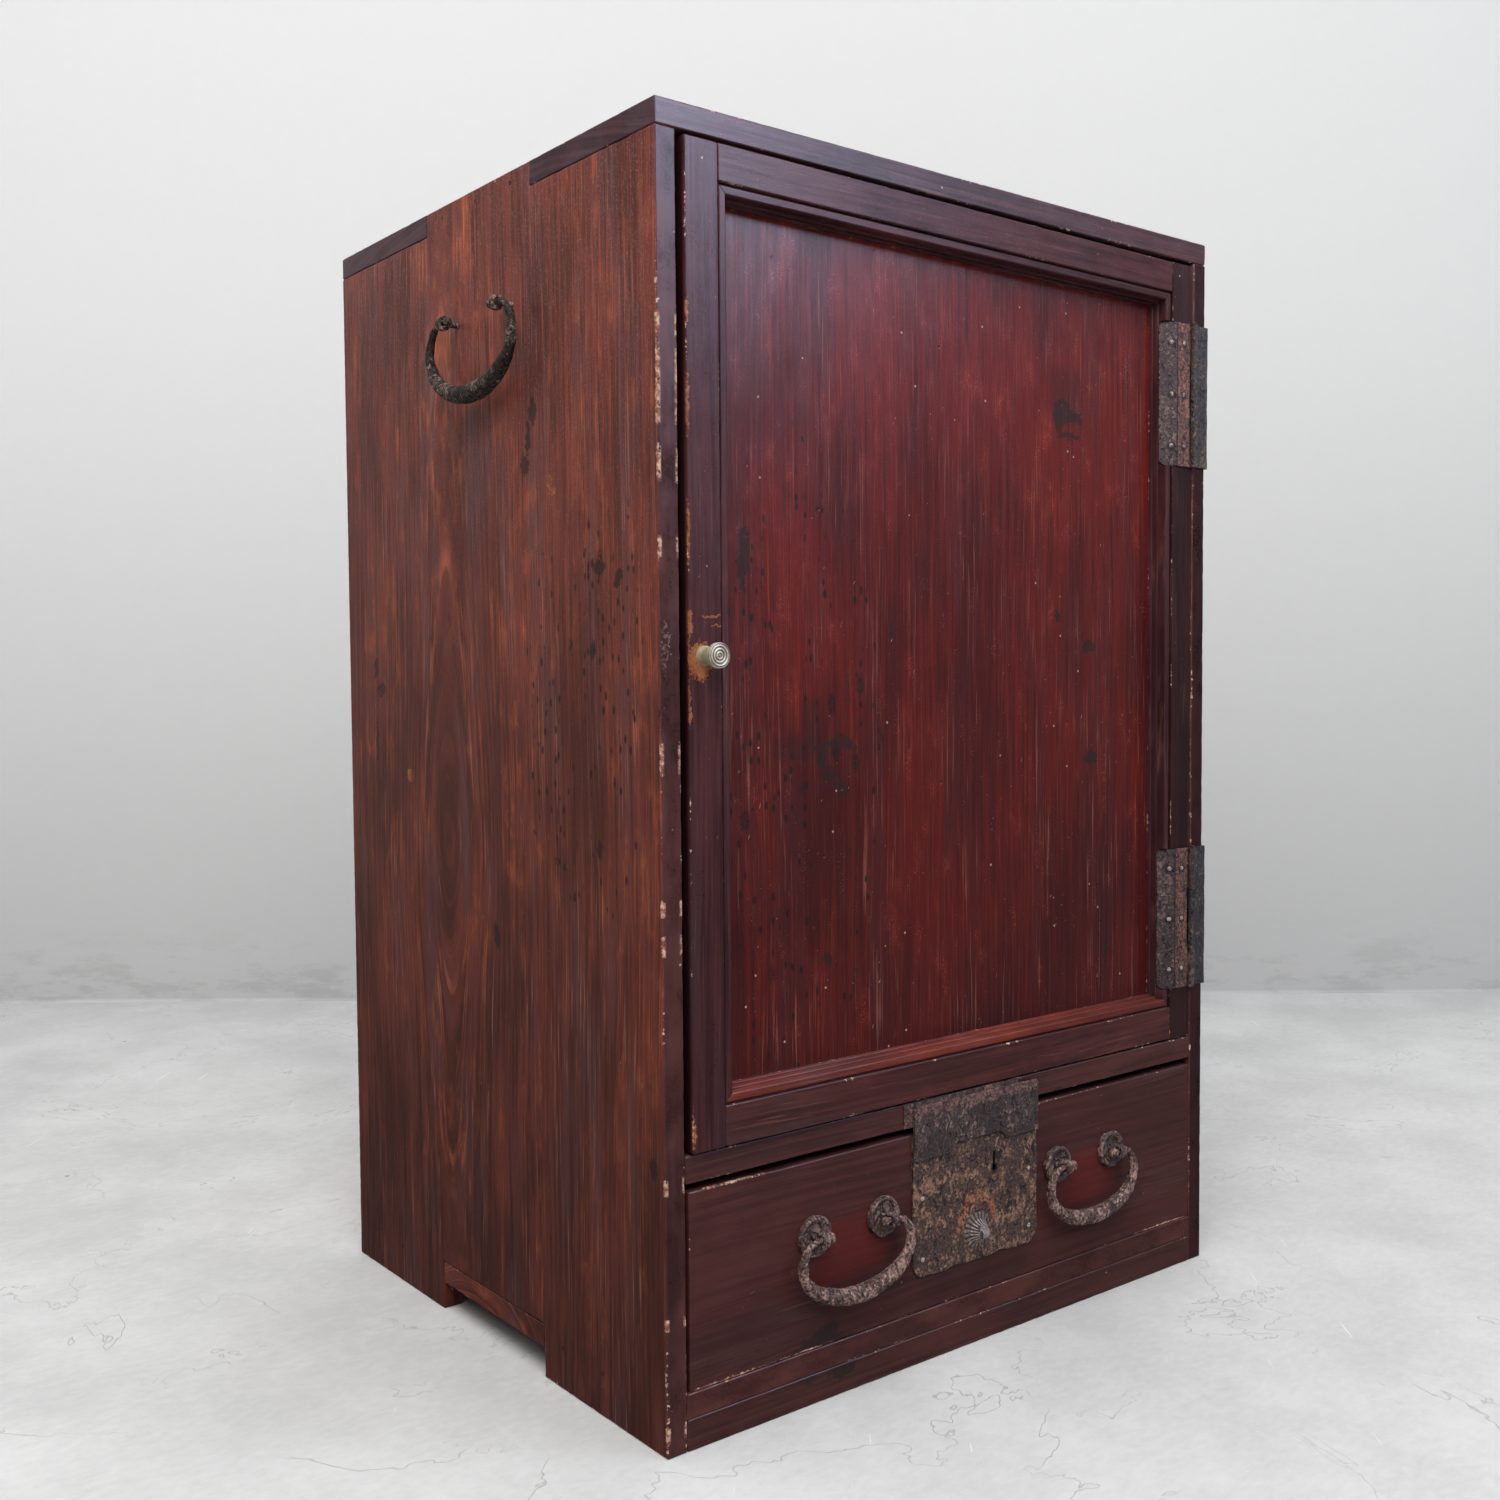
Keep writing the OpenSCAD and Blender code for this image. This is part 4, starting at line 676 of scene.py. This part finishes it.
# The drawer: a lacquered front with its grain from side to side, on a plain pegged box. The wood
# round the lock is darkened by rust stain from its iron and by the plate's painted shadow, and the
# lower left corner is dark with old damp.
lock_x = 213.5
drawer_stains = [(32, 97, 5, 15), (37, 106, 4, 6), (30, 84, 2.5, 9), (30, 114, 2, 8)]
bail_boxes = [box_mm(f"drawer_bail_{side}") for side in ("left", "right")]
# Behind the bails: fresher, redder lacquer with the bails' painted shade. Round the lock: rust
# stain with the plate's painted shadow.
in_bails = [(low[2] + 27, (low[0] + high[0]) / 2, 16, 27) for low, high in bail_boxes]
round_lock = [(72, lock_x, 52, 42)]
drawer_chips = [(29.7, 40, 0.9, 26), (29.7, 88, 0.7, 18), (29.7, 380, 0.9, 26),
                (129, 40, 0.7, 22)]
drawer_finish = lacquered("drawer_front", "zyx", ("412221", "502a27", "5f302a", "432d2d"),
                          (-30, 40, 0, 0), wear=0.7, grain=0.32, seed=110, knocks=0.4,
                          soot_and_shadow=round_lock, fresh_and_shade=in_bails, stains=drawer_stains,
                          chips=drawer_chips)
worn("drawer_front", drawer_finish, arris=0.9, seed=5)

# The lock: a thin iron plate with a cover plate over its top, four nails, a keyhole and a flower
# stud. The strike plate on the rail above takes the bolt.
plate_t = 1.0
stud_z = 65.3
key_x, key_z = lock_x + 14, 98.3


def plate_marks(colour, place, clump, grain):
    """An arc of orange rust above the stud, and the keyhole painted black as the shade inside it.
    """
    x, z = [place.parts()[k] for k in (0, 2)]
    away = (((x - lock_x) / 14) ** 2.0 + ((z - stud_z - 1) / 18) ** 2.0) ** 0.5
    arc = 1 - (away + (clump - 0.5) * 0.9 - 1).unsigned().rise(0.04, 0.26)
    arc = arc * z.rise(stud_z - 2, stud_z + 6) * grain.rise(0.3, 0.5)
    orange = grain.rise(0.3, 0.7).tint(paint("6b3a22"), paint("b8714a"))
    colour = (arc * 0.7).tint(colour, orange)
    # Painted shade: the keyhole's slit and round are painted black
    beside, above = x - key_x, z - key_z
    away = (beside ** 2.0 + above ** 2.0) ** 0.5 + (grain - 0.5) * 0.8
    slit = (1 - beside.unsigned().rise(0.9, 1.5)) * above.rise(0, 1) * (1 - above.rise(9, 10.5))
    black = (away.rise(0.9, 1.2) * (1 - away.rise(2.5, 3.4))).most(slit)
    return (black * 0.9).tint(colour, paint("120e0d"))


plate_iron = rusted("plate_iron", "8c6a55", "553e33", "2a1d19", crust=5.2, marks=plate_marks)
cover_top = box_mm("lock_cover")[1][2]


def cover_marks(colour, place, clump, grain):
    """The cover's upper edge, where it meets the strike plate, is rusted pink and brown."""
    strip = (place.parts()[2] + (clump - 0.5) * 14).rise(cover_top - 7, cover_top - 4)
    pink = grain.rise(0.35, 0.65).tint(paint("513432"), paint("8a665f"))
    return (strip * 0.7).tint(colour, pink)


cover_iron = rusted("cover_iron", "7f685f", "43332f", "291e1c", crust=3.6, tan=0.3,
                    marks=cover_marks)
strike_iron = rusted("strike_iron", "84675f", "5a423d", "342422", crust=3.4, orange=0.5)
worn("lock_plate", plate_iron, arris=0.35, chip=0.3, step=2, wander=0.5)
worn("lock_cover", cover_iron, arris=0.4, chip=0.4, step=2, wander=0.4)
worn("strike_plate", strike_iron, arris=0.3, chip=0.3, step=2, wander=0.3)
forged("lock_nails", nail_iron, 0.25, lump=0.15, rounds=2)
stud_r, stud_collar, stud_ribs, stud_ball = 10.4, 6.8, 20, 3.9
stud_steps, points_to_a_rib = 26, 8
stud_rings = []
for k in range(stud_steps):
    r = stud_r * (1 - k / (stud_steps - 0.5))
    ring = []
    for j in range(stud_ribs * points_to_a_rib):
        a = 2 * math.pi * j / (stud_ribs * points_to_a_rib)
        rib = abs(math.sin(a * stud_ribs / 2)) ** 0.7
        rise = min(1, max(0, (stud_collar - r) / (stud_collar - stud_ball)))
        out = 0.5 + 1.3 * (1 - (r / stud_r) ** 3) + 3.0 * rise
        out += (0.35 + 0.5 * rise) * rib * math.sin(math.pi * min(1, r / stud_r)) ** 0.6
        if r < stud_ball:
            out = 5.2 + math.sqrt(stud_ball ** 2 - r ** 2)
        ring.append((out, r * (0.95 + 0.05 * rib), a))
    stud_rings.append(ring)
stud_rings.insert(0, [(out - 1.4, r, a) for out, r, a in stud_rings[0]])


def stud_marks(colour, place, clump, grain):
    """Painted light: the ribs on the collar carry a painted highlight, the hollows between them are
    painted dark with dirt and shade, and the ball is painted pale as its highlight.
    """
    x, z = [place.parts()[k] - middle for k, middle in ((0, lock_x), (2, stud_z))]
    turn = z.sum("ARCTAN2", z, x) * (stud_ribs / 2)
    rib = turn.sum("SINE", turn).unsigned()
    from_middle = (x ** 2.0 + z ** 2.0) ** 0.5
    petals = from_middle.rise(stud_ball - 0.2, stud_ball + 0.4)
    collar = petals * (1 - from_middle.rise(stud_collar - 0.6, stud_collar + 0.4))
    # Painted shade and dirt in the hollows between the ribs, and a painted highlight on the ribs of
    # the collar
    colour = (petals * (1 - rib.rise(0.15, 0.6)) * 0.85).tint(colour, paint("1c1514"))
    colour = (petals * rib.rise(0.7, 0.95) * (collar * 0.5 + 0.15)).tint(colour, paint("b3a49f"))
    # Painted highlight: the ball is tinted pale bluish grey
    return ((1 - petals) * (grain * 0.6 + 0.2)).tint(colour, paint("8f898c"))


stud_iron = rusted("stud_iron", "84736d", "5c4d48", "3a2e2b", crust=7, marks=stud_marks)
round_piece("lock_rosette", stud_iron, (lock_x, -plate_t, stud_z), stud_rings)

# The drawer handles: thick hammered bails that hang from clenched eyes, each eye through a dished
# round plate. The carrying handles on the sides are the same, larger and without plates.
bail_iron = rusted("bail_iron", "a3847b", "62493f", "33231f", crust=3.4, tan=0.55)
rosette_iron = rusted("rosette_iron", "8f746c", "5b4640", "302321", crust=4, tan=0.5)
eye_iron = rusted("eye_iron", "937b74", "5c4a45", "2f2422", crust=3, tan=0.55)
side_iron = rusted("side_bail_iron", "8a7a6c", "3b322d", "1c1715", crust=3.4, tan=0.35,
                   orange=0.05)
forged("handle_rosettes", rosette_iron, 0.4, lump=0.5, pit=0.25)
forged("drawer_eyes", eye_iron, 0.35, lump=0.3, pit=0.15, seed=3)
for side, seed in (("left", 4), ("right", 5)):
    forged(f"drawer_bail_{side}", bail_iron, 0.5, lump=0.5, pit=0.2, rounds=8,
           seed=seed)
    forged(f"side_bail_{side}", side_iron, 0.55, lump=0.5, pit=0.2, rounds=8,
           seed=seed + 11)
    forged(f"side_eyes_{side}", eye_iron, 0.35, lump=0.25, pit=0.15, seed=7)

# The wood that no hand has lacquered: the back, the inside, the drawer's box and the pegs. It is
# plain softwood gone brown with age.
plain_colours = ("7b5d40", "8a6b4b", "987653", "806a52")
plain_wood = {"back_board_left": "xyz", "back_board_right": "xyz", "compartment_floor": "yzx",
              "shelf": "yzx", "shelf_batten_left": "zxy", "shelf_batten_right": "zxy",
              "door_stop_upper": "zyx", "door_stop_lower": "zyx", "drawer_stops": "zxy",
              "drawer_side_left": "zxy", "drawer_side_right": "zxy", "drawer_back": "zyx",
              "drawer_bottom": "yzx"}
for k, (node, order) in enumerate(plain_wood.items()):
    wood = lacquered(node, order, plain_colours, (120 + 40 * k, 60, 200, 4), wear=0,
                     seed=130 + 7 * k, gloss=0.72, knocks=0.2, height_shade=0)
    worn(node, wood, arris=0.5, chip=0.3)
peg_finish = lacquered("joint_pegs", "xyz", ("3a2019", "55301f", "6b4028", "43302b"), wear=0,
                       seed=5, gloss=0.6, knocks=0)
iron_inside = rusted("iron_inside", "8d7468", "5c4a43", "33292a", tan=0.2)
for finish, nodes in ((peg_finish, ("joint_pegs", "back_pegs", "drawer_pegs")),
                      (iron_inside, ("lock_body", "lock_bolt", "knob_nut"))):
    for node in nodes:
        frame["nodes"][node].data.materials.clear()
        frame["nodes"][node].data.materials.append(finish)

# The room: a pale rough floor that meets a pale plastered wall, and soft light from a window on
# the right, from the ceiling and from the photographer's side. The yaw is the photographer's.
yaw = math.radians(38.05)
ahead_flat = Vector((math.sin(yaw), math.cos(yaw), 0))
across_flat = Vector((ahead_flat.y, -ahead_flat.x, 0))
floor_finish, floor_place = start_finish("pale_floor")
drift = floor_place.clouds(600, detail=3)
grain = floor_place.clouds((9, 5, 9), detail=5, rough=0.7)
veins = floor_place.clouds(190, detail=5, rough=0.6, warp=0.6) - 0.5
crack = (1 - veins.unsigned().rise(0.0, 0.003)) * floor_place.clouds(120).rise(0.46, 0.58)
chips = floor_place.clouds((7, 4, 7), detail=4, rough=0.7).rise(0.68, 0.72) * drift.rise(0.5, 0.6)
blur = floor_place.clouds(120, detail=5, rough=0.65)
floor_colour = (drift * 0.3 + blur * 0.45 + grain * 0.25).rise(0.34, 0.66)
floor_colour = floor_colour.tint(paint("b7b7b7"), paint("cfcfcf"))
floor_colour = (crack * 0.5).tint(floor_colour, paint("8f8f8d"))
scratch = floor_place.turned(0.7).clouds((1.6, 70, 20), detail=3).rise(0.7, 0.74)
scratch = scratch * (floor_place + (90, 0, 0)).clouds(160).rise(0.5, 0.6)
floor_colour = (chips.most(scratch) * 0.65).tint(floor_colour, paint("f4f4f2"))
floor_colour = (floor_place.dots(70, 1.7, 0.6) * 0.6).tint(floor_colour, paint("5f5f5d"))
end_finish(floor_finish, floor_colour, 0.75, grain * 0.4 - crack, 0.25, 0.1)
wall_finish, wall_place = start_finish("pale_wall")
wall_x, wall_z = [wall_place.parts()[k] for k in (0, 2)]
plaster = wall_place.clouds(14, detail=5, rough=0.65)
# Painted shade: the wall is darker towards the floor and towards the right
wall_colour = wall_z.rise(-150, 900).tint(paint("bdbdbd"), paint("dedede"))
wall_colour = wall_colour.lit(1.03 - wall_x.rise(-400, 900) * 0.12 + (plaster - 0.5) * 0.03)
dirt = wall_place.clouds((90, 90, 26), detail=6, rough=0.72).rise(0.47, 0.6)
dirt = dirt * (1 - wall_z.rise(10, 110))
wall_colour = (dirt * 0.3).tint(wall_colour, paint("8d8d8b"))
end_finish(wall_finish, wall_colour, 0.85, plaster, 0.1, 0.1)
wall_distance, fillet, half_room, wall_top, quarter = 0.83, 0.004, 4.5, 3.2, 6
angles = [t * math.pi / 2 / quarter for t in range(quarter + 1)]
curve = [(wall_distance + fillet * math.sin(a), fillet * (1 - math.cos(a))) for a in angles]
wall_profile = curve + [(wall_distance + fillet, wall_top)]
for name, finish, profile in (("pale_floor", floor_finish, [(-half_room, 0), curve[0]]),
                              ("pale_wall", wall_finish, wall_profile)):
    shape = bmesh.new()
    rows = [[shape.verts.new(ahead_flat * d + across_flat * w + Vector((0, 0, h)))
             for d, h in profile] for w in (-half_room, half_room)]
    for k in range(len(profile) - 1):
        shape.faces.new([rows[0][k], rows[1][k], rows[1][k + 1], rows[0][k + 1]])
    mesh = bpy.data.meshes.new(name)
    shape.to_mesh(mesh)
    shape.free()
    mesh.materials.append(finish)
    for face in mesh.polygons:
        face.use_smooth = True
    part = bpy.data.objects.new(name, mesh)
    part.visible_glossy = name == "pale_wall"
    bpy.context.scene.collection.objects.link(part)


def soft_light(name, place, aim, size, power, colour, sheen_only=False):
    """A large soft lamp. One for sheen only is mirrored by surfaces but lights none of them."""
    lamp = bpy.data.lights.new(name, "AREA")
    lamp.shape = "RECTANGLE"
    lamp.size, lamp.size_y = size
    lamp.energy = power
    lamp.color = colour
    holder = bpy.data.objects.new(name, lamp)
    holder.location = place
    holder.rotation_mode = "QUATERNION"
    holder.rotation_quaternion = (Vector(aim) - Vector(place)).to_track_quat("-Z", "Y")
    holder.visible_diffuse = not sheen_only
    holder.visible_camera = False
    bpy.context.scene.collection.objects.link(holder)


soft_light("overhead", (-1.0, -1.2, 1.9), (0, 0, 0.35), (1.5, 1.5), 46, (1, 0.99, 0.97))
soft_light("ceiling", (-0.5, 0.0, 2.9), (-0.2, 0, 0), (3.0, 3.0), 53, (1, 1, 1))
window = (0.85, -2.2, 1.95), (0, 0, 0.4), (1.5, 1.2)
soft_light("window", *window, 14, (0.94, 0.97, 1.0))
soft_light("window_sheen", *window, 300, (0.62, 0.7, 1.0), sheen_only=True)
world = bpy.data.worlds.new("pale_room")
world.use_nodes = True
world.node_tree.nodes["Background"].inputs["Color"].default_value = (0.92, 0.95, 1.0, 1)
world.node_tree.nodes["Background"].inputs["Strength"].default_value = 0.2
bpy.context.scene.world = world
bpy.context.scene.view_settings.view_transform = "Standard"

# The camera stands low in front of the near corner, where the photograph was taken. Its place is
# in heights of the case, and its focal length in pixels of the photograph, as both were solved.
eye = corner + Vector((-0.6451, -0.9299, 0.5806)) * (case_h / MM)
pitch, roll = math.radians(-2.5925), math.radians(-0.4324)
focal_px, photo_px, sensor = 1550.8, 1500, 36
ahead = Vector((math.sin(yaw) * math.cos(pitch), math.cos(yaw) * math.cos(pitch), math.sin(pitch)))
upright = across_flat.cross(ahead)
right = across_flat * math.cos(roll) + upright * math.sin(roll)
up = upright * math.cos(roll) - across_flat * math.sin(roll)
camera = bpy.data.objects.new("camera", bpy.data.cameras.new("camera"))
camera.matrix_world = Matrix((right, up, -ahead)).transposed().to_4x4()
camera.location = eye
camera.data.sensor_width = sensor
camera.data.lens = sensor * focal_px / photo_px
bpy.context.scene.collection.objects.link(camera)
bpy.context.scene.camera = camera
